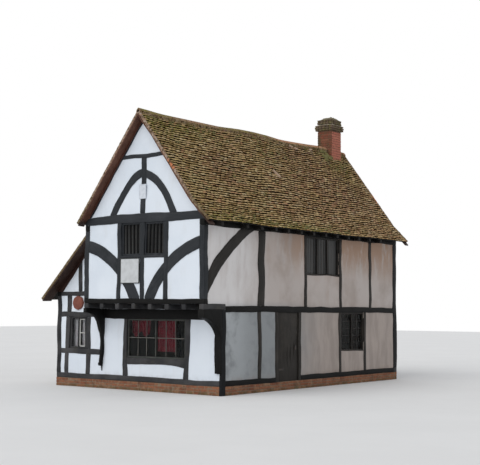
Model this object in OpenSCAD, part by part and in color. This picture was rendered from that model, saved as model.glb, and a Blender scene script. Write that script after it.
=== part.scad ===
// Half timbered house: jettied front gable, lean-to under a long rear slope, tiled roof, brick chimney.
// x runs to the right along the front, y runs into the house and z is up.
// The origin is on the ground under the ridge, in the plane of the ground floor front wall.

/* [House] */
// Width of the main part, over its frame
main_w = 3900; // [3700:10:4300]
// Width of the lean-to on the left
outshot_w = 1700; // [1500:10:1900]
// Depth from the ground floor front to the rear wall face
house_d = 8400; // [7800:10:9400]
// Overhang of the upper storey over the ground floor front
jetty = 680; // [500:10:760]

/* [Levels] */
// Height of the brick plinth
plinth_h = 220; // [150:5:300]
// Height of the sill beams on the plinth
sill_h = 125; // [100:5:160]
// Underside of the front beam
beam_z = 1785; // [1750:5:1850]
// Height of the front beam
beam_h = 245; // [180:5:270]
// Height of the floor joists
joist_h = 130; // [110:5:160]
// Height of the bressummer on the joist ends
bressummer_h = 115; // [95:5:140]
// Thickness of the floor boards
board_t = 30; // [20:1:40]
// Underside of the wall plates
plate_z = 3980; // [3950:5:4020]
// Height of the wall plates
plate_h = 140; // [120:5:150]
// Height of the tie beams at their ends
tie_h = 185; // [160:5:210]
// Underside of the collars
collar_z = 5700; // [5600:5:5800]
// Height of the collars
collar_h = 100; // [80:5:120]
// Thickness of the ground floor slab
slab_t = 150; // [100:5:200]

/* [Roof] */
// Height of the main battens over the wall plates, at the wall face
heel_h = 104; // [90:1:120]
// Height of the lean-to battens over its plate, at the wall face
outshot_heel_h = 38; // [20:1:60]
// Pitch of the main roof in degrees
roof_pitch = 52.5; // [52:0.1:53]
// Pitch of the right slope's flatter foot in degrees
foot_pitch = 43.9; // [43:0.1:45]
// Distance from the frame's right face to the start of that foot
foot_in = 170; // [120:5:220]
// Reach of the main eaves past the frame on the right
eave_over = 310; // [250:5:350]
// Reach of the main eaves past the frame on the left, where the lean-to roof starts
break_over = 130; // [100:5:180]
// Pitch of the lean-to roof in degrees
outshot_pitch = 44.7; // [44.2:0.1:45.2]
// Reach of the lean-to eaves past its wall
outshot_over = 330; // [280:5:400]
// Thickness of the battens and tiles
tile_t = 70; // [50:1:80]
// Depth of the rafters
rafter_d = 110; // [90:5:130]
// Width of the rafters
rafter_w = 90; // [70:5:110]
// Greatest spacing of the rafters
rafter_gap = 620; // [500:10:700]
// Overhang of the roof past the gables
verge = 200; // [150:5:250]
// Overhang of the lean-to roof past its front wall
outshot_verge = 300; // [250:5:350]
// Thickness of the boards under the verges
soffit_t = 25; // [15:1:35]
// Outer radius of the ridge tiles
ridge_r = 120; // [100:5:140]
// Height of the ridge tiles over the apex
ridge_rise = 30; // [20:1:40]

/* [Timbers] */
// Thickness of the wall frames
frame_t = 150; // [120:5:170]
// Width of the posts
post_w = 150; // [130:5:170]
// Side of the square corner posts
corner_w = 200; // [180:5:230]
// Width of the upper studs
stud_w = 135; // [110:5:150]
// Distance of the outer upper studs from the middle
stud_x = 760; // [700:5:820]
// Recess of the plaster behind the timbers
recess = 15; // [5:1:25]
// Thickness of the plaster panels
panel_t = 110; // [80:5:120]
// Number of floor joists
joists = 8; // [6:1:9]
// Width of the floor joists
joist_w = 125; // [100:5:150]
// Width of the right jetty bracket and its leg
bracket_w = 190; // [150:5:200]
// Underside of the right bracket's leg
bracket_z = 520; // [450:10:600]
// Width of the right corner post's foot, under the bracket's leg
foot_w = 75; // [60:5:100]

/* [Windows] */
// Width of the window frames' rims
rim = 45; // [35:1:55]
// Depth of the window frames
casement_d = 90; // [80:1:100]
// Width of the window bars
bar_w = 40; // [30:1:50]
// Depth of the window bars
bar_d = 50; // [40:1:60]
// Thickness of the glass
glass_t = 8; // [6:1:10]
// Left side of the front window
front_window_x0 = -1100; // [-1150:5:-1000]
// Right side of the front window
front_window_x1 = 825; // [700:5:850]
// Underside of the front window
front_window_z = 820; // [780:5:860]
// Underside of the upper front window
upper_window_z = 3260; // [3200:5:3300]
// Underside of the lean-to window's rail
rail_z = 850; // [800:5:880]
// Height of the lean-to rails
rail_h = 140; // [120:5:150]

/* [Chimney] */
// Width of the chimney stack
stack_w = 500; // [450:10:560]
// Depth of the chimney stack
stack_d = 560; // [500:10:600]
// Distance of the stack's middle from the ridge, to the left
stack_shift = 50; // [0:5:80]
// Distance of the stack's front from the rear wall face
stack_back = 850; // [800:5:900]
// Underside of the oversailing cap
cap_z = 7530; // [7450:10:7600]
// Height of the cap
cap_h = 450; // [400:10:500]
// Reach of the cap past the stack
cap_over = 70; // [50:5:90]

/* [Hidden] */
half = main_w / 2;
inner = half - frame_t;
outshot_x = -half - outshot_w;
rear_in = house_d - frame_t;
front_y = -jetty;
front_in = front_y + frame_t;
sill_top = plinth_h + sill_h;
joist_z = beam_z + beam_h;
floor_z = joist_z + joist_h;
upper_z = floor_z + bressummer_h;
tie_z = plate_z + plate_h;
tie_top = tie_z + tie_h;
slope = tan(roof_pitch);
outshot_slope = tan(outshot_pitch);
tile_rise = tile_t / cos(roof_pitch);
rafter_rise = rafter_d / cos(roof_pitch);
apex_z = tie_z + heel_h + tile_rise + slope * half;
eave_x = half + eave_over;
kick_x = half - foot_in;
kick_z = apex_z - slope * kick_x;
kick_joint = -[sin((roof_pitch + foot_pitch) / 2), cos((roof_pitch + foot_pitch) / 2)] / cos((roof_pitch - foot_pitch) / 2);
rafter_short = 100;
break_x = half + break_over;
break_z = apex_z - slope * break_x;
outshot_eave_x = -outshot_x + outshot_over;
roof_y0 = front_y - verge;
roof_y1 = house_d + verge;
outshot_y0 = -outshot_verge;
// The frame's largest reach, for cutting shapes
far = 20000;
arc_steps = 12;

// Timber and plaster levels of the lean-to
rail2_z = 1810;
outshot_rafter_d = 90;
outshot_plate_h = 110;
outshot_wall_top = break_z - tile_t / cos(outshot_pitch) + outshot_slope * (break_x + outshot_x);
outshot_plate_z = outshot_wall_top - outshot_heel_h - outshot_plate_h;
girding_drop = 70;
girding_z = joist_z - girding_drop;
girding_h = 150;
girding_top = girding_z + girding_h;

// Studs of the lean-to front, from the ground up
outshot_stud_w = 150;
outshot_bay_a = 395;
outshot_bay_b = 525;
outshot_stud_a = outshot_x + outshot_bay_a;
outshot_stud_b = -half - outshot_bay_b;
outshot_stud_lean = 45;
outshot_stud_step = 30;
outshot_top_bay = 860;
outshot_top_stud_x = -half - outshot_top_bay;
outshot_top_stud_w = 140;

// Gable rafter of the lean-to: its width on the plate and its height at the main frame
outshot_rafter_foot = 200;
outshot_rafter_head = 58;

// Side wall bays, from the front
side_stud_y = 1440;
side_stud_w = 270;
side_window_y0 = 3600;
side_window_y1 = 5200;
side_window_z = 2950;
side_stud2_y = 6800;
door_y0 = 2300;
door_y1 = 3200;
door_t = 60;
jamb_w = 120;
lower_window_y0 = 5300;
lower_window_y1 = 6500;
lower_window_z = 900;
outshot_side_window_y0 = 5450;
outshot_side_window_y1 = 6550;

// Left ground post from its pointed foot to the joists, each row as height, left side and right side
left_post_rows = [
    [440, -30, 4], [600, -38, 16], [800, -38, 30], [900, -38, 50], [1310, -38, 45], [1400, -38, 65]
];
left_post_top = [-38, 65];

// Undersides of the jetty brackets, in y and z
left_bracket_edge = [
    [0, 560], [-110, 574], [-118, 635], [-85, 656], [-80, 815], [-70, 1000], [-42, 1190], [-78, 1400],
    [-140, 1500], [-210, 1695], [-296, 1811], [-430, 1885]
];
left_bracket_end = 1925;
right_leg_d = 45;
right_bracket_arc = [[-45, 1412], [-243, 1665]];
right_bracket_end = 1834;
bracket_back = 20;

// Posts and sill rail of the front window
window_post_w = 152;
window_post_top_w = 103;
window_post_foot = 12;
window_post2_w = 165;
window_post2_foot = -62;
window_sill_edge = [[-1100, 645], [-500, 656], [76, 669], [380, 652], [742, 606], [825, 600]];

// Curved edges of the braces, from the outer corner post's foot and from the front corner's head
front_brace_outer = [[-150, 1460], [-1130, 975], [-1855, 60]];
front_brace_inner = [[-1540, 5], [-1105, 615], [-150, 1160]];
side_brace_outer = [[-20, -1120], [572, -473], [1320, 20]];
side_brace_inner = [[1860, 20], [687, -785], [-20, -1610]];

// Windows: lights across and up
window_split = -172;
front_lights = [3, 2];
upper_lights = [5, 1];
outshot_lights = [2, 1];
side_lights = [3, 1];
rear_lights = [4, 1];
upper_rail_h = 70;
casement_inset = 30;

// Curtains and the rails that they hang from
curtain_rail_t = 25;
curtain_rail_d = 50;
curtain_rail_over = 50;
curtain_t = 40;
curtain_gap = 5;
valance_x = [-1100, -450];
valance_z = 1330;
curtain_x = [-280, 380];
curtain_z = 980;
outshot_curtain_x = outshot_stud_a + 55;
outshot_curtain_w = 200;
outshot_curtain2_x = outshot_stud_a + 395;
outshot_curtain2_w = 170;

// Gable parts
arch_outer = [[1107, 0], [786, 600], [0, 1110]];
arch_inner = [[890, 0], [560, 590], [0, 925]];
gable_post_w = 150;
gable_post_lean = 45;
tie_camber = 40;

// Fittings
plaque_x = [-100, 120];
plaque_lift = 390;
plaque_z = tie_top + plaque_lift;
plaque_h = 355;
plaque_t = 20;
notice_t = 25;
notice_h = 615;
bell_r = 185;
bell_top_r = 120;
bell_boss_r = 60;
bell_d = 75;
bell_gap = 100;
bell_lift = 20;
bell_x = outshot_stud_a - outshot_stud_step + outshot_stud_w + bell_gap + bell_r;
bell_z = (rail2_z + rail_h + outshot_plate_z) / 2 + bell_lift;

// Chimney
stack_y0 = house_d - stack_back;
stack_y1 = stack_y0 + stack_d;
stack_x0 = -stack_shift - stack_w / 2;
stack_x1 = stack_x0 + stack_w;

timber_colour = "#26282b";
plaster_colour = "#e9ebee";
warm_plaster_colour = "#d9d2ca";
brick_colour = "#8c5a44";
tile_colour = "#6f6038";
glass_colour = "#4a5257";
rafter_colour = "#4b3f33";

// Geometry helpers

function turned(a) = a - 360 * floor(a / 360);

function circumcentre(p, q, r) =
    let (a = q - p, b = r - p, d = 2 * cross(a, b))
    p + [b.y * (a * a) - a.y * (b * b), a.x * (b * b) - b.x * (a * a)] / d;

// Points of the arc from p through q to r
function arc3(p, q, r) =
    let (
        c = circumcentre(p, q, r),
        radius = norm(p - c),
        from = atan2(p.y - c.y, p.x - c.x),
        to = atan2(r.y - c.y, r.x - c.x),
        sweep = cross(q - p, r - p) > 0 ? turned(to - from) : -turned(from - to)
    )
    [for (i = [0 : arc_steps]) c + radius * [cos(from + sweep * i / arc_steps), sin(from + sweep * i / arc_steps)]];

function moved(points, by) = [for (p = points) p + by];

// Height of the roof's faces over the main frame
function under_tiles(x) = apex_z - tile_rise - slope * abs(x);
function under_rafters(x) = under_tiles(x) - rafter_rise;
function foot_top(x) = kick_z - tan(foot_pitch) * (x - kick_x);

// A rectangle in a wall's own plane
module bar(u0, u1, v0, v1) {
    translate([u0, v0]) square([u1 - u0, v1 - v0]);
}

// A flat shape in x and z, made into a wall piece from y0 to y1
module across(y0, y1) {
    translate([0, y1, 0]) rotate([90, 0, 0]) linear_extrude(y1 - y0) children();
}

// A flat shape in y and z, made into a wall piece from x0 to x1
module along(x0, x1) {
    translate([x0, 0, 0]) rotate([90, 0, 90]) linear_extrude(x1 - x0) children();
}

module box(x0, x1, y0, y1, z0, z1) {
    translate([x0, y0, z0]) cube([x1 - x0, y1 - y0, z1 - z0]);
}

// A tapered or leaning timber between two levels
module leaning(x0, x1, z0, top_x0, top_x1, z1) {
    polygon([[x0, z0], [x1, z0], [top_x1, z1], [top_x0, z1]]);
}

// Everything under the tiles of the main roof, in x and z
module main_profile() {
    polygon([[-half, 0], [half, 0], [half, under_tiles(half)], [0, under_tiles(0)], [-half, under_tiles(half)]]);
}

// Everything under the main rafters
module attic_profile() {
    polygon([[-half, 0], [half, 0], [half, under_rafters(half)], [0, under_rafters(0)], [-half, under_rafters(half)]]);
}

// A layer of a straight main slope, between two depths below its upper face
module slope_layer(reach, top, bottom) {
    eave = [reach, apex_z - slope * reach];
    normal = [sin(roof_pitch), cos(roof_pitch)];
    polygon([
        [0, apex_z - top / cos(roof_pitch)],
        eave - top * normal,
        eave - bottom * normal,
        [0, apex_z - bottom / cos(roof_pitch)]
    ]);
}

// A layer of the right slope with its flatter foot
module right_layer(top, bottom) {
    kick = [kick_x, kick_z];
    polygon([
        [0, apex_z - top / cos(roof_pitch)],
        kick + top * kick_joint,
        [eave_x, foot_top(eave_x) - top / cos(foot_pitch)],
        [eave_x, foot_top(eave_x) - bottom / cos(foot_pitch)],
        kick + bottom * kick_joint,
        [0, apex_z - bottom / cos(roof_pitch)]
    ]);
}

// A right rafter, packed out under the flatter foot and cut level with the wall plate
module right_rafter_shape() {
    end_x = eave_x - rafter_short;
    polygon([
        [0, under_tiles(0)],
        [kick_x, kick_z] + tile_t * kick_joint,
        [end_x, foot_top(end_x) - tile_t / cos(foot_pitch)],
        [end_x, plate_z],
        [(under_rafters(0) - plate_z) / slope, plate_z],
        [0, under_rafters(0)]
    ]);
}

// A layer of the lean-to roof, between two depths below its upper face
module outshot_layer(top, bottom) {
    start = [-break_x, break_z];
    eave = [-outshot_eave_x, break_z - outshot_slope * (outshot_eave_x - break_x)];
    normal = [-sin(outshot_pitch), cos(outshot_pitch)];
    joint = [sin(roof_pitch), -cos(roof_pitch)] / cos(roof_pitch - outshot_pitch);
    polygon([start + top * joint, eave - top * normal, eave - bottom * normal, start + bottom * joint]);
}

// Everything under the lean-to tiles, from the lean-to's outer wall to the main frame
module outshot_profile() {
    corner = [-break_x, break_z] + tile_t * [sin(roof_pitch), -cos(roof_pitch)] / cos(roof_pitch - outshot_pitch);
    polygon([[outshot_x, 0], [-half, 0], [-half, under_tiles(half)], corner,
        [outshot_x, outshot_wall_top]]);
}

// Base

module front_plinth() {
    color(brick_colour) difference() {
        box(outshot_x, half, 0, frame_t, 0, plinth_h);
        box(half - foot_w, half, 0, frame_t, 0, plinth_h);
    }
}

module rear_plinth() {
    color(brick_colour) box(outshot_x, half, rear_in, house_d, 0, plinth_h);
}

module right_plinth() {
    color(brick_colour) box(inner, half, frame_t, rear_in, 0, plinth_h);
}

module left_plinth() {
    color(brick_colour) box(outshot_x, outshot_x + frame_t, frame_t, rear_in, 0, plinth_h);
}

module ground_floor() {
    color("#7d6a5c") box(outshot_x + frame_t, inner, frame_t, rear_in, 0, slab_t);
}

module end_sill_beams() {
    color(timber_colour) {
        box(outshot_x, half - foot_w, 0, frame_t, plinth_h, sill_top);
        box(outshot_x, half, rear_in, house_d, plinth_h, sill_top);
    }
}

module side_sill_beams() {
    color(timber_colour) {
        box(inner, half, frame_t, door_y0 - jamb_w, plinth_h, sill_top);
        box(inner, half, door_y1 + jamb_w, rear_in, plinth_h, sill_top);
        box(outshot_x, outshot_x + frame_t, frame_t, rear_in, plinth_h, sill_top);
    }
}

// Ground floor front

module left_ground_post_shape() {
    polygon(concat(
        [for (row = left_post_rows) [-half + row[1], row[0]]],
        [[-half + left_post_top.x, joist_z], [-half + left_post_top.y, joist_z]],
        [for (i = [len(left_post_rows) - 1 : -1 : 0]) [-half + left_post_rows[i][2], left_post_rows[i][0]]]
    ));
}

module right_ground_post_shape() {
    bar(half - corner_w, half, bracket_z, joist_z);
    bar(half - foot_w, half, 0, joist_z);
}

module ground_posts() {
    color(timber_colour) {
        across(0, frame_t) {
            right_ground_post_shape();
            left_ground_post_shape();
        }
        box(outshot_x, outshot_x + frame_t, 0, frame_t, sill_top, outshot_plate_z);
        box(outshot_x, outshot_x + frame_t, rear_in, house_d, sill_top, outshot_plate_z);
        box(half - corner_w, half, house_d - corner_w, house_d, sill_top, plate_z);
        box(-half, -half + corner_w, house_d - corner_w, house_d, sill_top, plate_z);
    }
}

module front_window_posts_shape() {
    x0 = front_window_x0;
    x1 = front_window_x1;
    polygon([
        [x0 - window_post_w, sill_top], [x0 + window_post_foot, sill_top], [x0, front_window_z],
        [x0, beam_z], [x0 - window_post_top_w, beam_z]
    ]);
    polygon([
        [x1 + window_post2_foot, sill_top], [x1 + window_post2_foot + window_post2_w, sill_top],
        [x1 + window_post2_w, beam_z], [x1, beam_z], [x1, front_window_z]
    ]);
}

// A leaning stud of the lean-to front, between two levels
module outshot_stud_shape(x, z0, z1) {
    lean = function (z) x + outshot_stud_lean * ((z - sill_top) / (rail2_z - sill_top) - 0.5);
    half_w = outshot_stud_w / 2;
    leaning(lean(z0) - half_w, lean(z0) + half_w, z0, lean(z1) - half_w, lean(z1) + half_w, z1);
}

module outshot_lower_studs_shape() {
    for (x = [outshot_stud_a, outshot_stud_b]) {
        outshot_stud_shape(x, sill_top, rail_z);
        outshot_stud_shape(x, rail_z + rail_h, rail2_z);
    }
}

module outshot_upper_studs_shape() {
    bar(outshot_stud_a - outshot_stud_step, outshot_stud_a - outshot_stud_step + outshot_stud_w,
        rail2_z + rail_h, outshot_plate_z);
    intersection() {
        bar(outshot_top_stud_x - outshot_top_stud_w / 2, outshot_top_stud_x + outshot_top_stud_w / 2,
            outshot_plate_z + outshot_plate_h, far);
        outshot_gable_shape();
    }
}

module front_ground_studs() {
    color(timber_colour) across(0, frame_t) {
        front_window_posts_shape();
        outshot_lower_studs_shape();
        outshot_upper_studs_shape();
    }
}

// The sill rail under the front window, with its uneven lower edge
module front_window_rail_shape() {
    difference() {
        polygon(concat([[front_window_x1, front_window_z], [front_window_x0, front_window_z]], window_sill_edge));
        front_window_posts_shape();
    }
}

module outshot_rails_shape() {
    difference() {
        union() {
            bar(outshot_x + frame_t, -half, rail_z, rail_z + rail_h);
            bar(outshot_x + frame_t, -half, rail2_z, rail2_z + rail_h);
        }
        left_ground_post_shape();
    }
    bar(outshot_x + frame_t, -half, outshot_plate_z, outshot_plate_z + outshot_plate_h);
}

module front_ground_rails() {
    color(timber_colour) across(0, frame_t) {
        front_window_rail_shape();
        outshot_rails_shape();
    }
}

module front_beam_shape() {
    difference() {
        bar(-half, half - corner_w, beam_z, joist_z);
        left_ground_post_shape();
    }
}

module front_beam() {
    color(timber_colour) across(0, frame_t) front_beam_shape();
}

// Curved brackets with long legs, under the ends of the outer joists
module left_bracket_shape() {
    polygon(concat([[0, joist_z]], left_bracket_edge,
        [[front_y + bracket_back, left_bracket_end], [front_y + bracket_back, joist_z]]));
}

module right_bracket_shape() {
    end = [front_y + bracket_back, right_bracket_end];
    polygon(concat([[0, joist_z], [0, bracket_z], [-right_leg_d, bracket_z]],
        arc3(right_bracket_arc[0], right_bracket_arc[1], end), [[end.x, joist_z]]));
}

module jetty_brackets() {
    color(timber_colour) {
        along(half - bracket_w, half) right_bracket_shape();
        intersection() {
            along(-half + left_post_top.x, -half + left_post_top.y) left_bracket_shape();
            across(front_y, 0) left_ground_post_shape();
        }
    }
}

function joist_x(i) = -half + frame_t / 2 + i * (main_w - frame_t) / (joists - 1);
// A joist that meets the chimney stack ends there
function joist_end(i) = abs(joist_x(i) + stack_shift) < (stack_w + joist_w) / 2 ? stack_y0 : rear_in;

module floor_joists() {
    color(timber_colour) {
        for (i = [1 : joists - 2])
            box(joist_x(i) - joist_w / 2, joist_x(i) + joist_w / 2, front_y, joist_end(i), joist_z, floor_z);
        box(inner, half, front_y, frame_t, joist_z, floor_z);
        box(-half, -inner, front_y, frame_t, joist_z, floor_z);
    }
}

module bressummer() {
    color(timber_colour) box(-half, half, front_y, front_in, floor_z, upper_z);
}

module upper_floor() {
    color("#6a5a48") difference() {
        box(-inner, inner, front_in, rear_in, floor_z, floor_z + board_t);
        stack_hole();
    }
}

// Upper front

module upper_posts() {
    color(timber_colour) {
        box(inner, half, front_y, front_in, upper_z, plate_z);
        box(-half, -inner, front_y, front_in, upper_z, plate_z);
    }
}

// Curved edges of the front brace on the right
module front_brace_shape() {
    outer = moved(front_brace_outer, [half, upper_z]);
    inner_edge = moved(front_brace_inner, [half, upper_z]);
    intersection() {
        polygon(concat(
            arc3(outer[0], outer[1], outer[2]),
            [[outer[2].x, upper_z], [inner_edge[0].x, upper_z]],
            arc3(inner_edge[0], inner_edge[1], inner_edge[2])
        ));
        bar(0, inner, upper_z, tie_z);
    }
}

module upper_studs_shape() {
    for (x = [-stud_x, 0, stud_x])
        bar(x - stud_w / 2, x + stud_w / 2, upper_z, tie_z);
    bar(-stud_x, stud_x, upper_window_z, upper_window_z + upper_rail_h);
}

module front_upper_studs() {
    color(timber_colour) across(front_y, front_in) upper_studs_shape();
}

module front_braces_shape() {
    for (side = [0, 1])
        mirror([side, 0]) difference() {
            front_brace_shape();
            upper_studs_shape();
        }
}

module front_braces() {
    color(timber_colour) across(front_y, front_in) front_braces_shape();
}

// Gables

module tie_beam_shape() {
    intersection() {
        polygon(concat([[half, tie_z], [half, tie_top]],
            arc3([half, tie_top], [0, tie_top + tie_camber], [-half, tie_top]), [[-half, tie_z]]));
        main_profile();
    }
}

module tie_beams() {
    color(timber_colour) {
        across(front_y, front_in) tie_beam_shape();
        across(rear_in, house_d) tie_beam_shape();
    }
}

module collar_shape() {
    intersection() {
        bar(-half, half, collar_z, collar_z + collar_h);
        attic_profile();
    }
}

module collars() {
    color(timber_colour) {
        across(front_y, front_in) collar_shape();
        across(rear_in, house_d) collar_shape();
    }
}

module gable_rafter_shape() {
    difference() {
        intersection() {
            union() {
                right_rafter_shape();
                mirror([1, 0]) slope_layer(eave_x + break_x, tile_t, tile_t + rafter_d);
            }
            bar(-half, half, tie_z, far);
        }
        tie_beam_shape();
    }
}

module outshot_gable_rafter_shape() {
    plate_top = outshot_plate_z + outshot_plate_h;
    difference() {
        intersection() {
            bar(outshot_x, -half, plate_top, far);
            outshot_profile();
        }
        polygon([
            [outshot_x + outshot_rafter_foot, plate_top], [-half, plate_top],
            [-half, under_tiles(half) - outshot_rafter_head]
        ]);
    }
}

module gable_rafters() {
    color(timber_colour) {
        across(front_y, front_in) gable_rafter_shape();
        across(rear_in, house_d) gable_rafter_shape();
        for (y = [0, rear_in])
            across(y, y + frame_t) outshot_gable_rafter_shape();
    }
}

module gable_post_shape() {
    difference() {
        leaning(-gable_post_w / 2, gable_post_w / 2, tie_z,
            gable_post_lean - gable_post_w / 2, gable_post_lean + gable_post_w / 2, collar_z);
        tie_beam_shape();
    }
}

module gable_posts() {
    color(timber_colour) {
        across(front_y, front_in) gable_post_shape();
        across(rear_in, house_d) gable_post_shape();
    }
}

module arch_shape() {
    outer = moved(arch_outer, [0, tie_top]);
    inner_edge = moved(arch_inner, [0, tie_top]);
    difference() {
        for (side = [0, 1])
            mirror([side, 0]) polygon(concat(
                arc3(outer[0], outer[1], outer[2]),
                arc3(inner_edge[2], inner_edge[1], inner_edge[0])
            ));
        tie_beam_shape();
        gable_post_shape();
    }
}

module arch_braces() {
    color(timber_colour) across(front_y, front_in) arch_shape();
}

// Side frames

module wall_plates() {
    color(timber_colour) {
        box(inner, half, front_y, house_d, plate_z, tie_z);
        box(-half, -inner, front_y, house_d, plate_z, tie_z);
        box(outshot_x, outshot_x + frame_t, 0, house_d, outshot_plate_z, outshot_plate_z + outshot_plate_h);
    }
}

arcade_bay = (rear_in - frame_t) / 3;

module arcade_posts() {
    color(timber_colour) {
        box(-half, -inner, 0, frame_t, floor_z, plate_z);
        for (i = [1, 2])
            box(-half, -inner, frame_t + i * arcade_bay - post_w / 2, frame_t + i * arcade_bay + post_w / 2,
                slab_t, plate_z);
    }
}

module girding_beams() {
    color(timber_colour) {
        box(inner, half, frame_t, house_d - corner_w, girding_z, girding_top);
        box(-half + corner_w, half - corner_w, rear_in, house_d, girding_z, girding_top);
    }
}

module right_lower_studs_shape() {
    bar(side_stud_y, side_stud_y + stud_w, sill_top, girding_z);
    bar(door_y0 - jamb_w, door_y0, plinth_h, girding_z);
    bar(door_y1, door_y1 + jamb_w, plinth_h, girding_z);
    bar(lower_window_y0 - jamb_w, lower_window_y0, sill_top, girding_z);
    bar(lower_window_y1, lower_window_y1 + jamb_w, sill_top, girding_z);
}

module right_upper_studs_shape() {
    bar(side_stud_y, side_stud_y + side_stud_w, girding_top, plate_z);
    bar(side_window_y0 - jamb_w, side_window_y0, girding_top, plate_z);
    bar(side_window_y1, side_window_y1 + jamb_w, girding_top, plate_z);
    bar(side_stud2_y, side_stud2_y + stud_w, girding_top, plate_z);
}

module left_studs_shape() {
    bar(side_stud_y, side_stud_y + stud_w, sill_top, outshot_plate_z);
    bar(outshot_side_window_y0 - jamb_w, outshot_side_window_y0, sill_top, outshot_plate_z);
    bar(outshot_side_window_y1, outshot_side_window_y1 + jamb_w, sill_top, outshot_plate_z);
    bar(side_stud2_y, side_stud2_y + stud_w, sill_top, outshot_plate_z);
}

module side_studs() {
    color(timber_colour) {
        along(inner, half) {
            right_lower_studs_shape();
            right_upper_studs_shape();
        }
        along(outshot_x, outshot_x + frame_t) left_studs_shape();
    }
}

module side_brace_shape() {
    outer = moved(side_brace_outer, [front_in, plate_z]);
    inner_edge = moved(side_brace_inner, [front_in, plate_z]);
    difference() {
        intersection() {
            polygon(concat(
                arc3(outer[0], outer[1], outer[2]),
                arc3(inner_edge[0], inner_edge[1], inner_edge[2])
            ));
            bar(front_in, far, floor_z, plate_z);
        }
        right_upper_studs_shape();
    }
}

module side_braces() {
    color(timber_colour) along(inner, half) side_brace_shape();
}

// Rear frame

module rear_studs_shape() {
    for (x = [-stud_x, stud_x]) {
        bar(x - stud_w / 2, x + stud_w / 2, sill_top, girding_z);
        bar(x - stud_w / 2, x + stud_w / 2, girding_top, tie_z);
    }
    bar((outshot_x - half) / 2 - stud_w / 2, (outshot_x - half) / 2 + stud_w / 2, sill_top, outshot_plate_z);
    bar(outshot_x + frame_t, -half, outshot_plate_z, outshot_plate_z + outshot_plate_h);
}

module rear_studs() {
    color(timber_colour) across(rear_in, house_d) rear_studs_shape();
}

// Plaster panels

module panels(y0) {
    across(y0, y0 + panel_t) children();
}

// The lean-to's end wall over its top rail, under its rafters
module outshot_gable_shape() {
    difference() {
        intersection() {
            bar(outshot_x, -half, outshot_plate_z + outshot_plate_h, far);
            outshot_profile();
        }
        outshot_gable_rafter_shape();
    }
}

module front_ground_panels() {
    color(plaster_colour) panels(recess) difference() {
        union() {
            bar(outshot_x + frame_t, half - foot_w, sill_top, joist_z);
            bar(outshot_x + frame_t, -half, joist_z, outshot_plate_z);
            bar(-inner, inner, joist_z, floor_z);
            outshot_gable_shape();
        }
        for (i = [1 : joists - 2])
            bar(joist_x(i) - joist_w / 2, joist_x(i) + joist_w / 2, joist_z, floor_z);
        left_ground_post_shape();
        right_ground_post_shape();
        front_window_posts_shape();
        outshot_lower_studs_shape();
        outshot_upper_studs_shape();
        front_window_rail_shape();
        outshot_rails_shape();
        front_beam_shape();
        bar(front_window_x0, front_window_x1, front_window_z, beam_z);
        outshot_window_hole();
    }
}

// The hole of the lean-to window, between its leaning studs
module outshot_window_hole() {
    bar(outshot_stud_a, outshot_stud_b, rail_z + rail_h, rail2_z);
}

module front_upper_panels() {
    color(plaster_colour) panels(front_y + recess) difference() {
        bar(-inner, inner, upper_z, tie_z);
        upper_studs_shape();
        front_braces_shape();
        bar(-stud_x, stud_x, upper_window_z, tie_z);
    }
}

module gable_area_shape() {
    difference() {
        intersection() {
            attic_profile();
            bar(-half, half, tie_z, far);
        }
        tie_beam_shape();
        gable_post_shape();
        collar_shape();
    }
}

module gable_panels() {
    color(plaster_colour) {
        panels(front_y + recess) difference() {
            gable_area_shape();
            arch_shape();
        }
        panels(house_d - recess - panel_t) gable_area_shape();
    }
}

module right_panels() {
    color(warm_plaster_colour) along(half - recess - panel_t, half - recess) {
        difference() {
            bar(frame_t, house_d - corner_w, sill_top, girding_z);
            right_lower_studs_shape();
            bar(door_y0, door_y1, sill_top, girding_z);
            bar(lower_window_y0, lower_window_y1, lower_window_z, girding_z);
        }
        difference() {
            union() {
                bar(front_in, frame_t, floor_z, plate_z);
                bar(frame_t, house_d - corner_w, girding_top, plate_z);
            }
            right_upper_studs_shape();
            side_brace_shape();
            bar(side_window_y0, side_window_y1, side_window_z, plate_z);
        }
    }
}

module left_panels() {
    color(warm_plaster_colour) {
        along(outshot_x + recess, outshot_x + recess + panel_t) difference() {
            bar(frame_t, rear_in, sill_top, outshot_plate_z);
            left_studs_shape();
            bar(outshot_side_window_y0, outshot_side_window_y1, lower_window_z, outshot_plate_z);
        }
        along(-half + recess, -half + recess + panel_t) bar(front_in, 0, floor_z, plate_z);
    }
}

module rear_panels() {
    color(warm_plaster_colour) panels(house_d - recess - panel_t) difference() {
        union() {
            bar(-half + corner_w, half - corner_w, sill_top, tie_z);
            bar(outshot_x + frame_t, -half, sill_top, outshot_plate_z);
            outshot_gable_shape();
        }
        rear_studs_shape();
        bar(-half, half, girding_z, girding_top);
        bar(-stud_x, stud_x, upper_window_z, tie_z);
    }
}

// Roof

rafter_count = ceil((rear_in - frame_t) / rafter_gap);
rafter_step = (rear_in - frame_t) / rafter_count;
rafter_ys = concat([front_in / 2], [for (i = [1 : rafter_count - 1]) frame_t + i * rafter_step]);

function clear_of_stack(y) = y + rafter_w / 2 < stack_y0 || y - rafter_w / 2 > stack_y1;

module right_rafters() {
    color(rafter_colour) difference() {
        for (y = rafter_ys)
            if (clear_of_stack(y))
                across(y - rafter_w / 2, y + rafter_w / 2) right_rafter_shape();
        box(inner, half, front_y, house_d, plate_z, tie_z);
    }
}

module left_rafters() {
    color(rafter_colour) difference() {
        for (y = rafter_ys)
            if (clear_of_stack(y))
                across(y - rafter_w / 2, y + rafter_w / 2)
                    mirror([1, 0]) slope_layer(break_x, tile_t, tile_t + rafter_d);
        box(-half, -inner, front_y, house_d, plate_z, tie_z);
    }
}

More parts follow.
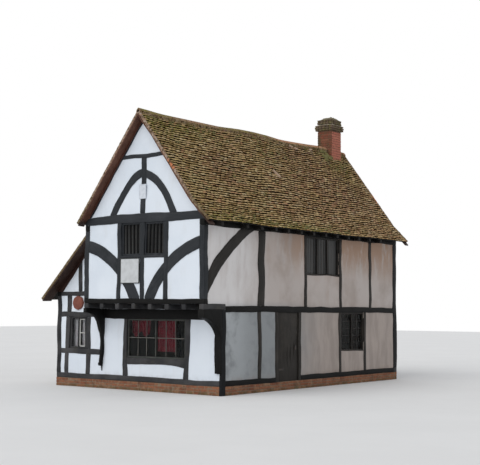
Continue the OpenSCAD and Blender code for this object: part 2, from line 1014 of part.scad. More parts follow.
module outshot_rafters() {
    color(rafter_colour) difference() {
        for (y = rafter_ys)
            if (y > frame_t)
                across(y - rafter_w / 2, y + rafter_w / 2) difference() {
                    outshot_layer(tile_t, tile_t + outshot_rafter_d);
                    mirror([1, 0]) slope_layer(break_x, tile_t, tile_t + rafter_d);
                }
        box(-half, -inner, front_y, house_d, plate_z, tie_z);
        box(outshot_x, outshot_x + frame_t, 0, house_d, outshot_plate_z, outshot_plate_z + outshot_plate_h);
    }
}

module stack_hole() {
    box(stack_x0, stack_x1, stack_y0, stack_y1, 0, far);
}

module right_roof() {
    color(tile_colour) difference() {
        across(roof_y0, roof_y1) right_layer(0, tile_t);
        stack_hole();
    }
}

module left_roof() {
    color(tile_colour) difference() {
        across(roof_y0, roof_y1) mirror([1, 0]) slope_layer(break_x, 0, tile_t);
        stack_hole();
    }
}

module outshot_roof() {
    color(tile_colour) across(outshot_y0, roof_y1) outshot_layer(0, tile_t);
}

module ridge_tiles() {
    color("#93603c") difference() {
        across(roof_y0, roof_y1) difference() {
            translate([0, apex_z + ridge_rise - ridge_r]) circle(r = ridge_r, $fn = 32);
            polygon([[0, apex_z], [far, apex_z - slope * far], [-far, apex_z - slope * far]]);
        }
        stack_hole();
    }
}

module verge_boards() {
    color("#5d3f30") {
        for (ys = [[roof_y0, front_y], [house_d, roof_y1]])
            across(ys[0], ys[1]) {
                right_layer(tile_t, tile_t + soffit_t);
                mirror([1, 0]) slope_layer(break_x, tile_t, tile_t + soffit_t);
            }
        for (ys = [[outshot_y0, 0], [house_d, roof_y1]])
            across(ys[0], ys[1]) outshot_layer(tile_t, tile_t + soffit_t);
    }
}

module chimney_stack() {
    color(brick_colour) box(stack_x0, stack_x1, stack_y0, stack_y1, slab_t, cap_z);
}

module chimney_cap() {
    color("#7a6a4e") box(stack_x0 - cap_over, stack_x1 + cap_over,
        stack_y0 - cap_over, stack_y1 + cap_over, cap_z, cap_z + cap_h);
}

// Windows, with the outside towards -y in their own frame

module casement(w, h, lights) {
    columns = lights[0];
    rows = lights[1];
    light_w = (w - 2 * rim - (columns - 1) * bar_w) / columns;
    light_h = (h - 2 * rim - (rows - 1) * bar_w) / rows;
    difference() {
        cube([w, casement_d, h]);
        translate([rim, bar_d, rim]) cube([w - 2 * rim, casement_d, h - 2 * rim]);
        for (i = [0 : columns - 1], j = [0 : rows - 1])
            translate([rim + i * (light_w + bar_w), -1, rim + j * (light_h + bar_w)])
                cube([light_w, casement_d, light_h]);
    }
}

module pane(w, h) {
    translate([rim, bar_d, rim]) cube([w - 2 * rim, glass_t, h - 2 * rim]);
}

module at_front_window(x) {
    translate([x, casement_inset, front_window_z]) children();
}

module at_upper_window(side) {
    translate([side * stud_x / 2 - upper_light_w / 2, front_y + casement_inset,
        upper_window_z + upper_rail_h]) children();
}

upper_light_w = stud_x - stud_w;
upper_light_h = tie_z - upper_window_z - upper_rail_h;
outshot_window_w = outshot_stud_b - outshot_stud_a - outshot_stud_w - outshot_stud_lean;

module at_outshot_window() {
    translate([
        (outshot_stud_a + outshot_stud_b) / 2 - outshot_window_w / 2, casement_inset, rail_z + rail_h
    ]) children();
}

module at_right_side(y, z) {
    translate([half - casement_inset, y, z]) rotate([0, 0, 90]) children();
}

module at_left_side(y, z) {
    translate([outshot_x + casement_inset, y, z]) rotate([0, 0, -90]) children();
}

module at_rear(x, z) {
    translate([x, house_d - casement_inset, z]) rotate([0, 0, 180]) children();
}

front_window_h = beam_z - front_window_z;

module front_window() {
    color(timber_colour) {
        at_front_window(front_window_x0) casement(window_split - front_window_x0, front_window_h, front_lights);
        at_front_window(window_split) casement(front_window_x1 - window_split, front_window_h, front_lights);
    }
}

module upper_window() {
    color(timber_colour) for (side = [-1, 1])
        at_upper_window(side) casement(upper_light_w, upper_light_h, upper_lights);
}

module outshot_window() {
    color(timber_colour) at_outshot_window() casement(outshot_window_w, outshot_window_h, outshot_lights);
}

outshot_window_h = rail2_z - rail_z - rail_h;
side_window_w = side_window_y1 - side_window_y0;
side_window_h = plate_z - side_window_z;
lower_window_w = lower_window_y1 - lower_window_y0;
lower_window_h = girding_z - lower_window_z;
left_window_w = outshot_side_window_y1 - outshot_side_window_y0;
left_window_h = outshot_plate_z - lower_window_z;
rear_window_w = 2 * stud_x - stud_w;
rear_window_h = tie_z - upper_window_z;

module side_windows() {
    color(timber_colour) {
        at_right_side(side_window_y0, side_window_z) casement(side_window_w, side_window_h, side_lights);
        at_right_side(lower_window_y0, lower_window_z) casement(lower_window_w, lower_window_h, outshot_lights);
    }
}

module rear_windows() {
    color(timber_colour) {
        at_left_side(outshot_side_window_y1, lower_window_z) casement(left_window_w, left_window_h, outshot_lights);
        at_rear(rear_window_w / 2, upper_window_z) casement(rear_window_w, rear_window_h, rear_lights);
    }
}

module ground_window_glass() {
    color(glass_colour) {
        at_front_window(front_window_x0) pane(window_split - front_window_x0, front_window_h);
        at_front_window(window_split) pane(front_window_x1 - window_split, front_window_h);
        at_outshot_window() pane(outshot_window_w, outshot_window_h);
        at_right_side(lower_window_y0, lower_window_z) pane(lower_window_w, lower_window_h);
        at_left_side(outshot_side_window_y1, lower_window_z) pane(left_window_w, left_window_h);
    }
}

module upper_window_glass() {
    color(glass_colour) {
        for (side = [-1, 1])
            at_upper_window(side) pane(upper_light_w, upper_light_h);
        at_right_side(side_window_y0, side_window_z) pane(side_window_w, side_window_h);
        at_rear(rear_window_w / 2, upper_window_z) pane(rear_window_w, rear_window_h);
    }
}

// Curtains behind the two ground floor windows of the front, on rails fixed to the frame

module curtain_rails() {
    color(rafter_colour) {
        box(front_window_x0 - curtain_rail_over, front_window_x1 + curtain_rail_over,
            frame_t, frame_t + curtain_rail_d, beam_z, beam_z + curtain_rail_t);
        box(outshot_stud_a - curtain_rail_over, outshot_stud_b + curtain_rail_over,
            frame_t, frame_t + curtain_rail_d, rail2_z, rail2_z + curtain_rail_t);
    }
}

module curtain(x0, x1, z0, z1) {
    box(x0, x1, frame_t + curtain_gap, frame_t + curtain_gap + curtain_t, z0, z1);
}

module curtains() {
    color("#5b1f2a") {
        curtain(valance_x[0], valance_x[1], valance_z, beam_z);
        curtain(curtain_x[0], curtain_x[1], curtain_z, beam_z);
    }
    color("#cfd0d2") {
        curtain(outshot_curtain_x, outshot_curtain_x + outshot_curtain_w, rail_z + rail_h, rail2_z);
        curtain(outshot_curtain2_x, outshot_curtain2_x + outshot_curtain2_w, rail_z + rail_h, rail2_z);
    }
}

module side_door() {
    color(timber_colour) at_right_side(door_y0, plinth_h) cube([door_y1 - door_y0, door_t, girding_z - plinth_h]);
}

// Fittings on the front

module date_plaque() {
    color("#dcdcd8") box(plaque_x[0], plaque_x[1], front_y - plaque_t, front_y, plaque_z, plaque_z + plaque_h);
}

module notice_board() {
    color("#cfcfc6") box(-stud_x + stud_w / 2, -stud_w / 2, front_y - notice_t, front_y,
        upper_window_z - notice_h, upper_window_z);
}

module bell_cover() {
    color("#9a4a35") translate([bell_x, recess, bell_z]) rotate([90, 0, 0]) {
        cylinder(h = recess, r = bell_boss_r, $fn = 48);
        translate([0, 0, recess]) cylinder(h = bell_d, r1 = bell_r, r2 = bell_top_r, $fn = 48);
    }
}

front_plinth();
right_plinth();
rear_plinth();
left_plinth();
ground_floor();
end_sill_beams();
side_sill_beams();
ground_posts();
front_ground_studs();
front_ground_rails();
front_beam();
jetty_brackets();
floor_joists();
bressummer();
upper_floor();
upper_posts();
front_upper_studs();
front_braces();
tie_beams();
collars();
gable_posts();
arch_braces();
gable_rafters();
wall_plates();
girding_beams();
side_studs();
side_braces();
arcade_posts();
rear_studs();
front_ground_panels();
front_upper_panels();
gable_panels();
right_panels();
left_panels();
rear_panels();
right_rafters();
left_rafters();
outshot_rafters();
right_roof();
left_roof();
outshot_roof();
ridge_tiles();
verge_boards();
chimney_stack();
chimney_cap();
front_window();
upper_window();
outshot_window();
side_windows();
rear_windows();
ground_window_glass();
upper_window_glass();
curtain_rails();
curtains();
side_door();
date_plaque();
notice_board();
bell_cover();
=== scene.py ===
from math import cos, pi, radians, sin, tan
import bpy
import bmesh
import numpy as np
from mathutils import Matrix, Vector, noise


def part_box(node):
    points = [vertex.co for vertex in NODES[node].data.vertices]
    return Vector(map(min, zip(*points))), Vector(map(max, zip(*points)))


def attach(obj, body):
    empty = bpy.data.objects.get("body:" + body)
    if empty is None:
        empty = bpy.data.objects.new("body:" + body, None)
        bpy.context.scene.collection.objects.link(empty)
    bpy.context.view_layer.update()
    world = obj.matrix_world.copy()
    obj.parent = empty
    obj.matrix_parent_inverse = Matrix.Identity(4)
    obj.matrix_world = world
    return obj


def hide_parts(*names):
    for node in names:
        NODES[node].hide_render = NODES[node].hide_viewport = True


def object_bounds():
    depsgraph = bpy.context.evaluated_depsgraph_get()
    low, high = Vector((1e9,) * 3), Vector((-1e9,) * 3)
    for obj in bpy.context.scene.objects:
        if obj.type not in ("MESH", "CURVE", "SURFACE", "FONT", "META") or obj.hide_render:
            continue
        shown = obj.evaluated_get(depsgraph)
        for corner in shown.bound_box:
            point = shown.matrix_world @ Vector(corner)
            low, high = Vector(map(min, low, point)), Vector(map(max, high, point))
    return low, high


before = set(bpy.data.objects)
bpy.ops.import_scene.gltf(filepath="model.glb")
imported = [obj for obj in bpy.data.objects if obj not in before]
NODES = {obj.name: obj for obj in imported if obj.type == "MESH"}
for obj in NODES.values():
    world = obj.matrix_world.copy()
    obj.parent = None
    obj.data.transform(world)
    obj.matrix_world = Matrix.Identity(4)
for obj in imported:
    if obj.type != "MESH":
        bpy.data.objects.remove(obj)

cad_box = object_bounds()
scene = bpy.context.scene
rng = np.random.default_rng(7)
noise.seed_set(7)

# Sizes repeated from the part's source, in metres
HALF, OUT_X, DEPTH, FRONT = 1.95, -3.65, 8.4, -0.68
PITCH, OUT_PITCH, FOOT_PITCH = radians(52.5), radians(44.7), radians(43.9)
SLOPE, OUT_SLOPE = tan(PITCH), tan(OUT_PITCH)
EAVE_X, KICK_X, BREAK_X, OUT_EAVE_X = 2.26, 1.78, 2.08, 3.98
ROOF_Y0, ROOF_Y1, OUT_Y0 = -0.88, 8.6, -0.3
RECESS, FRAME_T, TILE_T = 0.015, 0.15, 0.07
PLINTH, FLOOR_Z, TIE_Z, TIE_TOP = 0.22, 2.16, 4.12, 4.305
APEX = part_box("right_roof")[1].z
KICK_Z, BREAK_Z = APEX - SLOPE * KICK_X, APEX - SLOPE * BREAK_X
OUT_PLATE_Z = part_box("wall_plates")[0].z
STACK = (-0.3, 0.2, 7.55, 8.11)
SHAFT_Z, SHAFT_TOP, CAP_TOP, CREST_TOP = 5.85, 7.53, 7.7, 7.87

# Windows as (u0, u1, v0, v1), u along their wall and v up
FRONT_WINDOW, SPLIT = (-1.1, 0.825, 0.82, 1.785), -0.172
SIDE_WINDOW, LOWER_WINDOW = (3.6, 5.2, 2.95, 3.98), (5.3, 6.5, 0.9, 1.96)
LEFT_WINDOW, REAR_WINDOW = (5.45, 6.55, 0.9, OUT_PLATE_Z), (-0.6925, 0.6925, 3.26, TIE_Z)

# Small repeats
GAUGE, TILE_W, TILE_L, TILE_THICK = 0.087, 0.155, 0.135, 0.015
BRICK, HALF_BRICK, JOINT = 0.215, 0.1025, 0.011
COURSE, STACK_COURSE = PLINTH / 3, 0.075


# Materials

def tone(colour, factor):
    return tuple(factor * c for c in colour)


class Finish:
    """A material being built: short names for its nodes, and its colour so far."""

    def __init__(self, name, colour, rough=0.6, shine=0.5, **fixed):
        self.material = bpy.data.materials.new(name)
        self.material.use_nodes = True
        self.tree = self.material.node_tree
        self.shader = self.fill(
            self.tree.nodes["Principled BSDF"], Roughness=rough, Specular_IOR_Level=shine, **fixed)
        self.where = self.add("ShaderNodeNewGeometry").outputs["Position"]
        # A list of colours is shared out by the tint of each brick or tile
        self.colour = self.ramp(self.attribute("tint"), colour) if isinstance(colour, list) else colour

    def set(self, socket, value):
        """Links or sets a socket. X, Y and Z stand for the place's coordinates."""
        if isinstance(value, str):
            value = self.add("ShaderNodeSeparateXYZ", Vector=self.where).outputs[value]
        if isinstance(value, bpy.types.NodeSocket):
            self.tree.links.new(value, socket)
        else:
            socket.default_value = value

    def fill(self, node, **inputs):
        for key, value in inputs.items():
            self.set(node.inputs[key.replace("_", " ")], value)
        return node

    def add(self, kind, **inputs):
        return self.fill(self.tree.nodes.new(kind), **inputs)

    def noise(self, scale, detail=4.0, rough=0.55, vector=None, distortion=0.0):
        """Noise of one scale, or of a scale for each axis."""
        vector = vector or self.where
        if isinstance(scale, tuple):
            vector, scale = self.add("ShaderNodeMapping", Vector=vector, Scale=scale).outputs["Vector"], 1.0
        return self.add("ShaderNodeTexNoise", Vector=vector, Scale=scale, Detail=detail, Roughness=rough,
                        Distortion=distortion).outputs["Fac"]

    def ramp(self, fac, colours, low=0.0, high=1.0):
        n = self.add("ShaderNodeValToRGB", Fac=fac)
        stops = n.color_ramp.elements
        while len(stops) < len(colours):
            stops.new(0.5)
        for stop, at, colour in zip(stops, np.linspace(low, high, len(colours)), colours):
            stop.position = at
            stop.color = (*colour, 1.0)
        return n.outputs["Color"]

    def step(self, fac, low, high, most=1.0):
        n = self.add("ShaderNodeMapRange", Value=fac, From_Min=low, From_Max=high, To_Max=most)
        n.interpolation_type = "SMOOTHSTEP"
        return n.outputs["Result"]

    def maths(self, kind, a, b=0.0):
        n = self.add("ShaderNodeMath")
        n.operation = kind
        self.set(n.inputs[0], a)
        self.set(n.inputs[1], b)
        return n.outputs["Value"]

    def times(self, first, *rest):
        for other in rest:
            first = self.maths("MULTIPLY", first, other)
        return first

    def plus(self, a, b, share):
        return self.maths("ADD", a, self.times(b, share))

    def mix(self, fac, a, b):
        n = self.add("ShaderNodeMix")
        n.data_type = "RGBA"
        self.set(n.inputs["Factor"], fac)
        for socket, value in zip([s for s in n.inputs if s.type == "RGBA"], (a, b)):
            self.set(socket, (*value, 1.0) if isinstance(value, tuple) else value)
        return [s for s in n.outputs if s.type == "RGBA"][0]

    def attribute(self, name, output="Fac"):
        n = self.add("ShaderNodeAttribute")
        n.attribute_name = name
        return n.outputs[output]

    def over(self, colour, fac, *limits):
        """Lays a colour over the one so far, by fac or by a smooth step of it between limits."""
        self.colour = self.mix(self.step(fac, *limits) if limits else fac, self.colour, colour)

    def done(self, height, strength, distance):
        bump = self.add("ShaderNodeBump", Height=height, Strength=strength, Distance=distance)
        self.fill(self.shader, Base_Color=self.colour, Normal=bump.outputs["Normal"])
        return self.material


def oak(name, dark, worn, wear, brown=None, stained=None, shine=0.22, corner=None, soffit_shade=False):
    """Tarred oak. stained reddens it along the roof line, corner paints near-black shade on it beyond that x, and
    soffit_shade paints shade on it towards the eaves and under the lean-to."""
    t = Finish(name, dark, shine=shine)
    grain = t.attribute("grain", "Vector")
    fibre = t.noise((3, 60, 60), 6, 0.65, grain)
    checks = t.noise((1.6, 34, 34), 3, 0.6, grain, 0.4)
    t.over(worn, t.noise(1.7, 5, 0.6), *wear)
    if brown:
        t.over(brown, t.noise(2.9, 4, 0.6), 0.52, 0.72)
    t.over(t.mix(0.45, t.colour, worn), fibre, 0.35, 0.75)
    t.over(tone(dark, 0.35), checks, 0.34, 0.27)
    t.over(t.mix(0.25, t.colour, worn), t.attribute("tint"), 0.2, 1.0)
    if stained:
        near = t.plus(t.plus("Z", t.maths("ABSOLUTE", "X"), SLOPE), t.noise(5, 3), 0.03)
        stain = t.mix(t.step("Z", 4.25, 4.0), t.mix(fibre, stained, tone(stained, 1.5)), tone(stained, 0.35))
        t.over(stain, near, APEX - 0.235, APEX - 0.205)
    # Painted shade: near black beyond x = corner.
    if corner:
        t.over(t.mix(fibre, (0.005, 0.0055, 0.0055), dark), "X", corner - 0.05, corner)
    # Painted shade, darker towards the eaves and under the lean-to.
    if soffit_shade:
        t.over(t.mix(t.noise(6), (0.02, 0.011, 0.008), (0.045, 0.02, 0.014)),
               t.maths("MAXIMUM", t.step("Z", 4.32, 4.16), t.step("X", -1.9, -2.3)))
    t.fill(t.shader, Roughness=t.ramp(fibre, [(0.72,) * 3, (0.5,) * 3], 0.2, 0.8))
    height = t.plus(t.step(checks, 0.27, 0.36, 0.9), fibre, 0.5)
    return t.done(t.plus(height, t.noise(22), 0.35), 0.55, 0.006)


def plaster_material(name, clean, stain, shade, painted_low_shade=None):
    """Lime render. With painted_low_shade the walls behind the front take painted shade below the upper floor's line,
    painted light towards the front, and a warmer stain higher up further back.
    """
    t = Finish(name, clean, 0.85, 0.25)
    blotch = t.noise(0.9, 5, 0.6)
    t.over(shade, blotch, 0.42, 0.7)
    streak = t.noise((4, 4, 1.1), 5, 0.6)
    t.over(stain, streak, 0.55, 0.8, 0.3)
    if painted_low_shade:
        near = t.plus("Y", blotch, 1.4)
        # Painted light: paler towards the front.
        t.over(t.mix(t.step(streak, 0.4, 0.7), (0.75, 0.725, 0.715), (0.64, 0.6, 0.585)), near, 2.6, 1.2)
        # Painted shade below the upper floor's line: grey on the side wall near the front, lighter close to its front
        # corner, and darker tones elsewhere.
        grey_shade_mask = t.times(t.step(near, 5.5, 2.5), t.step("X", HALF - 0.2, HALF - 0.1))
        under = t.mix(t.step(streak, 0.35, 0.65), tone(shade, 1.05), tone(shade, 0.85))
        grey = t.mix(t.step(near, 2.2, 0.9), painted_low_shade, tone(painted_low_shade, 1.4))
        grey = t.mix(t.step(t.noise(2.3), 0.45, 0.7), grey, tone(painted_low_shade, 0.85))
        t.over(t.mix(grey_shade_mask, under, grey), "Z", 2.3, 1.9)
        t.over(stain, t.times(t.step("Y", 1.2, 4.0), t.step("Z", 2.6, 3.8), t.step(streak, 0.3, 0.55)))
    t.over(tone(stain, 0.62), t.times(t.step("Z", 0.5, 0.26), t.step(t.noise(6, 5), 0.35, 0.7, 0.5)))
    return t.done(t.plus(t.noise(3.5, 3), t.noise(34, 5, 0.65), 0.3), 0.5, 0.008)


def tile_material(name, palette, lichen):
    """Old clay. The attributes moss, red and gap say where moss, redder clay and painted shade lie; the shade under
    each tile's tail also holds some grime.
    """
    t = Finish(name, palette, 0.95, 0.03)
    t.over(t.mix(t.attribute("tint"), (0.34, 0.165, 0.1), (0.17, 0.105, 0.09)),
           t.times(t.attribute("red"), t.step(t.noise(7, 3, 0.6), 0.35, 0.62), 0.8))
    t.over(t.mix(0.5, t.colour, (0.55, 0.43, 0.25)), t.noise(27, 5, 0.65), 0.45, 0.75)
    t.over((0.05, 0.03, 0.01), t.noise(13, 5, 0.65), 0.5, 0.36, 0.75)
    patch = t.maths("MAXIMUM", t.step(t.noise(1.5, 5, 0.65), 0.5, 0.66, 0.5), t.attribute("moss"))
    green = t.times(patch, t.step(t.noise(15, 4, 0.6), 0.42, 0.6))
    t.over(t.mix(t.noise(40, 3), (0.15, 0.135, 0.03), (0.33, 0.29, 0.075)), green)
    spots = t.add("ShaderNodeTexVoronoi", Vector=t.where, Scale=26).outputs["Distance"]
    t.over((0.55, 0.5, 0.4), t.times(t.step(spots, 0.2, 0.12), t.step(t.noise(3.1, 3), 0.5, 0.62), lichen))
    # Painted shade, with some grime, where gap runs high: under tile tails, on undersides and on ridge edges.
    t.over((0.016, 0.0085, 0.001), t.plus(t.attribute("gap"), t.noise(24, 4, 0.65), 0.4), 0.77, 0.86)
    return t.done(t.plus(t.noise(55, 5, 0.65), green, 1.2), 0.5, 0.005)


def brick_material(name, palette, moss=0.0, dust=None, stack=False):
    """Bricks. stack makes the chimney's front browner with a dark left edge, and its side pinker."""
    t = Finish(name, palette, 0.85, 0.25)
    t.over(t.mix(0.45, t.colour, (0.05, 0.03, 0.022)), t.noise(30, 5, 0.65), 0.75, 0.35)
    t.over((0.06, 0.05, 0.035), t.noise(4, 4, 0.6), 0.5, 0.72, 0.55)
    if dust:
        t.over(dust, t.noise(5.5, 5, 0.7, distortion=0.6), 0.5, 0.66, 0.75)
    if moss:
        t.over((0.13, 0.12, 0.035), t.noise(7, 5, 0.65), 0.46, 0.6, moss)
    if stack:
        face = t.step("Y", STACK[2] + 0.04, STACK[2] + 0.02)
        t.over(t.mix(face, (0.68, 0.24, 0.18), (0.065, 0.03, 0.018)), 0.45)
        edge = t.step(t.plus("X", t.noise(5, 4, 0.6), 0.16), -0.08, -0.16)
        t.over((0.075, 0.055, 0.028), t.times(edge, face, t.step("Z", 7.6, 7.2)))
    t.over((0.075, 0.075, 0.03), t.times(t.step("Z", 0.12, 0.01), t.step(t.noise(9, 5), 0.35, 0.6, 0.75)))
    return t.done(t.noise(70, 6, 0.7), 0.6, 0.005)


def plain(name, base, other, scale, rough=0.6, bump=0.3, distance=0.004, shine=0.5, **fixed):
    t = Finish(name, base, rough, shine, **fixed)
    t.over(other, t.noise(scale, 5, 0.6), 0.35, 0.7)
    t.over(t.mix(0.5, t.colour, other), t.noise(scale * 6, 4, 0.6), 0.55, 0.75)
    return t.done(t.noise(scale * 9, 5, 0.6), bump, distance)


def verge_material():
    """Bedding and tile ends, pinkish above and olive with growth below."""
    t = Finish("verge_mortar", (0.13, 0.09, 0.045), 0.9, 0.2)
    ends = t.step(t.noise((9, 9, 26), 3, 0.6), 0.4, 0.62)
    t.over((0.25, 0.2, 0.11), ends)
    t.over(t.mix(ends, (0.3, 0.19, 0.13), (0.42, 0.33, 0.26)), t.plus("Z", t.noise(4, 4, 0.6), 1.6), 4.9, 6.2)
    fresh = t.times(t.step("Z", 5.28, 5.36), t.step("Z", 5.62, 5.5), t.step("X", 0.3, 0.4))
    t.over((0.55, 0.2, 0.09), fresh)
    t.over((0.1, 0.065, 0.035), t.noise(17, 4, 0.6), 0.55, 0.4)
    return t.done(t.noise(40, 5, 0.65), 0.8, 0.008)


def glass_material(name, a, b, alpha, rough):
    t = Finish(name, a, rough, 0.25, Alpha=alpha, IOR=1.45)
    t.over(b, t.noise(3, 2))
    return t.done(t.noise(4.5, 2), 0.12, 0.01)


def cloth_material(name, a, b):
    t = Finish(name, a, 0.9, 0.2, Sheen_Weight=0.1)
    t.over(b, t.noise(5), 0.35, 0.7)
    return t.done(t.times(t.noise((900, 900, 60), 2, 0.5), t.noise((60, 60, 900), 2, 0.5)), 0.3, 0.001)


timber = oak("black_timber", (0.0115, 0.0145, 0.018), (0.040, 0.043, 0.049), (0.48, 0.76))
side_timber = oak("brown_black_timber", (0.011, 0.0095, 0.008), (0.034, 0.028, 0.023), (0.48, 0.76))
grey_timber = oak(
    "grey_timber", (0.015, 0.0158, 0.0182), (0.052, 0.051, 0.053), (0.4, 0.66), brown=(0.036, 0.034, 0.027))
rafter_timber = oak(
    "rafter_timber", (0.010, 0.0125, 0.016), (0.034, 0.036, 0.041), (0.5, 0.78), stained=(0.075, 0.028, 0.019))
shaded_timber = oak(
    "shaded_timber", (0.0055, 0.0055, 0.0055), (0.012, 0.0115, 0.011), (0.5, 0.78), shine=0.1)
# The corner posts beyond x = 1.7 take painted shade.
post_timber = oak(
    "post_timber", (0.013, 0.0138, 0.016), (0.05, 0.049, 0.051), (0.42, 0.68), corner=1.7, shine=0.12)
old_timber = oak("bare_timber", (0.025, 0.018, 0.013), (0.07, 0.052, 0.036), (0.4, 0.7))
# Black laths and rafters, made darker still with painted shade under the eaves.
eave_shade_timber = oak("shaded_dark_laths", (0.005, 0.0045, 0.004), (0.013, 0.011, 0.009), (0.4, 0.7))
dark_bars = oak("dark_bars", (0.009, 0.0095, 0.01), (0.016, 0.0165, 0.017), (0.5, 0.8), shine=0.1)
# Red-brown boards, with painted shade towards the eaves and under the lean-to.
soffit_timber = oak(
    "red_brown_boards", (0.085, 0.036, 0.024), (0.15, 0.07, 0.046), (0.4, 0.7), soffit_shade=True)
# plaster's blue tint is painted sky light; warm_plaster is darker and warmer, with dirt and painted shade together.
plaster = plaster_material("white_plaster", (0.74, 0.795, 0.865), (0.62, 0.64, 0.66), (0.69, 0.75, 0.825))
warm_plaster = plaster_material(
    "warm_plaster", (0.53, 0.475, 0.445), (0.38, 0.255, 0.185), (0.42, 0.36, 0.325), (0.3, 0.315, 0.325))
roof_tile = tile_material(
    "clay_tiles", [(0.25, 0.15, 0.065), (0.41, 0.275, 0.125), (0.53, 0.37, 0.18), (0.6, 0.44, 0.235),
                   (0.45, 0.235, 0.125), (0.65, 0.5, 0.29)], 0.4)
bedding_tile = tile_material(
    "bedding_clay", [(0.17, 0.105, 0.06), (0.25, 0.165, 0.1), (0.3, 0.21, 0.135), (0.36, 0.27, 0.18)], 0.5)
ridge_tile = tile_material(
    "ridge_clay", [(0.2, 0.145, 0.08), (0.32, 0.2, 0.14), (0.46, 0.235, 0.14), (0.4, 0.27, 0.18)], 0.7)
brick = brick_material(
    "red_bricks", [(0.22, 0.075, 0.04), (0.36, 0.14, 0.07), (0.27, 0.095, 0.05), (0.4, 0.19, 0.1)],
    dust=(0.27, 0.18, 0.11))
stack_brick = brick_material(
    "chimney_bricks", [(0.3, 0.075, 0.04), (0.4, 0.11, 0.06), (0.26, 0.07, 0.042), (0.42, 0.15, 0.085)], 0.3,
    stack=True)
cap_brick = brick_material("mossy_bricks", [(0.14, 0.095, 0.065), (0.19, 0.14, 0.095), (0.15, 0.11, 0.075)], 0.6)
verge_mortar = verge_material()
red_mortar = plain("dirty_red_mortar", (0.19, 0.095, 0.06), (0.12, 0.075, 0.04), 9, 0.9, 0.6)
dark_mortar = plain("dark_cap_mortar", (0.1, 0.08, 0.055), (0.07, 0.06, 0.03), 9, 0.9, 0.7)
mortar = plain("lime_mortar", (0.24, 0.17, 0.11), (0.13, 0.09, 0.06), 9, 0.9, 0.6)
ledge_mortar = plain("pale_ledge_mortar", (0.42, 0.38, 0.3), (0.2, 0.17, 0.11), 11, 0.9, 0.7, 0.008)
brown_moss = plain("brown_moss", (0.14, 0.12, 0.075), (0.2, 0.17, 0.1), 16, 0.95, 0.8, 0.01)
green_moss = plain("green_moss", (0.17, 0.155, 0.05), (0.115, 0.1, 0.03), 14, 0.95, 0.8, 0.01)
pale_clay = plain("pale_broken_clay", (0.52, 0.36, 0.27), (0.42, 0.32, 0.22), 20, 0.9, 0.5)
bar_paint = plain("pale_bar_paint", (0.17, 0.165, 0.15), (0.09, 0.088, 0.08), 6, shine=0.2)
frame_paint = plain("olive_frame_paint", (0.036, 0.04, 0.038), (0.062, 0.064, 0.057), 5, shine=0.2)
white_paint = plain("white_paint", (0.6, 0.6, 0.58), (0.42, 0.41, 0.38), 6, 0.5)
floor_brick = plain("floor_paving", (0.16, 0.1, 0.07), (0.24, 0.16, 0.11), 5, 0.8)
board_paint = plain("pale_board_paint", (0.57, 0.59, 0.605), (0.49, 0.505, 0.515), 9, 0.6, 0.2)
iron = plain("black_iron", (0.02, 0.02, 0.021), (0.06, 0.04, 0.03), 14, 0.45, 0.4, Metallic=0.6)
bell_paint = plain("terracotta_paint", (0.23, 0.075, 0.05), (0.17, 0.055, 0.038), 7, 0.7, 0.15, shine=0.3)
plaque_paint = plain("pale_plaque", (0.66, 0.7, 0.76), (0.56, 0.6, 0.66), 14, 0.7, 0.3)
glass = glass_material("window_glass", (0.03, 0.034, 0.034), (0.05, 0.055, 0.055), 0.15, 0.06)
# Opaque glass whose colour is painted shade, the dark room behind the upper window.
opaque_shade_glass = glass_material("opaque_glass_painted_shade", (0.03, 0.031, 0.031), (0.05, 0.05, 0.048), 1.0, 0.4)
red_cloth = cloth_material("dark_red_cloth", (0.2, 0.012, 0.025), (0.11, 0.007, 0.015))
pale_cloth = cloth_material("pale_cloth", (0.88, 0.9, 0.93), (0.74, 0.7, 0.73))


# Shapes

UPRIGHT, LEVEL = (0, 0, 1), (1, 0, 0)


def set_attribute(mesh, name, values):
    values = np.array(values, dtype=np.float32)
    kind, field = ("FLOAT", "value") if values.ndim == 1 else ("FLOAT_VECTOR", "vector")
    mesh.attributes.new(name, kind, "POINT").data.foreach_set(field, values.ravel())


def add_piece(mesh, name, mat, cad="", sharp=35.0):
    """A piece kept inside the CAD box. cad names the nodes that it replaces."""
    points = np.empty(3 * len(mesh.vertices), dtype=np.float32)
    mesh.vertices.foreach_get("co", points)
    mesh.vertices.foreach_set("co", np.clip(points.reshape(-1, 3), *np.array(cad_box, dtype=np.float32)).ravel())
    mesh.polygons.foreach_set("use_smooth", [True] * len(mesh.polygons))
    mesh.set_sharp_from_angle(angle=radians(sharp))
    mesh.materials.append(mat)
    o = bpy.data.objects.new(name, mesh)
    scene.collection.objects.link(o)
    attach(o, "root")
    if cad:
        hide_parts(*cad.split())
    return o


def array_piece(name, verts, faces, mat, cad="", sharp=35.0, slot=None, tint=0.5, **marks):
    mesh = bpy.data.meshes.new(name)
    mesh.from_pydata(np.asarray(verts).tolist(), [], faces)
    for key, values in {"tint": tint, **marks}.items():
        set_attribute(mesh, key, values if np.ndim(values) else [values] * len(verts))
    return add_piece(mesh, name, mat, cad, sharp)


def mesh_of(bm, name):
    mesh = bpy.data.meshes.new(name)
    bm.to_mesh(mesh)
    bm.free()
    return mesh


def drift(p):
    """The slow wander of old walls, shared by all that stands in them."""
    d = noise.noise_vector(p * 1.7) * 0.024
    d.z *= min(1.0, max(0.0, p.z / 0.4))
    return d


def uneven(p, size, amount, seed=0.0):
    return noise.noise_vector((p + Vector((seed, -seed, 2 * seed))) / size) * amount


def cut(bm, point, normal, **options):
    bmesh.ops.bisect_plane(
        bm, geom=bm.verts[:] + bm.edges[:] + bm.faces[:], plane_co=point, plane_no=normal, **options)


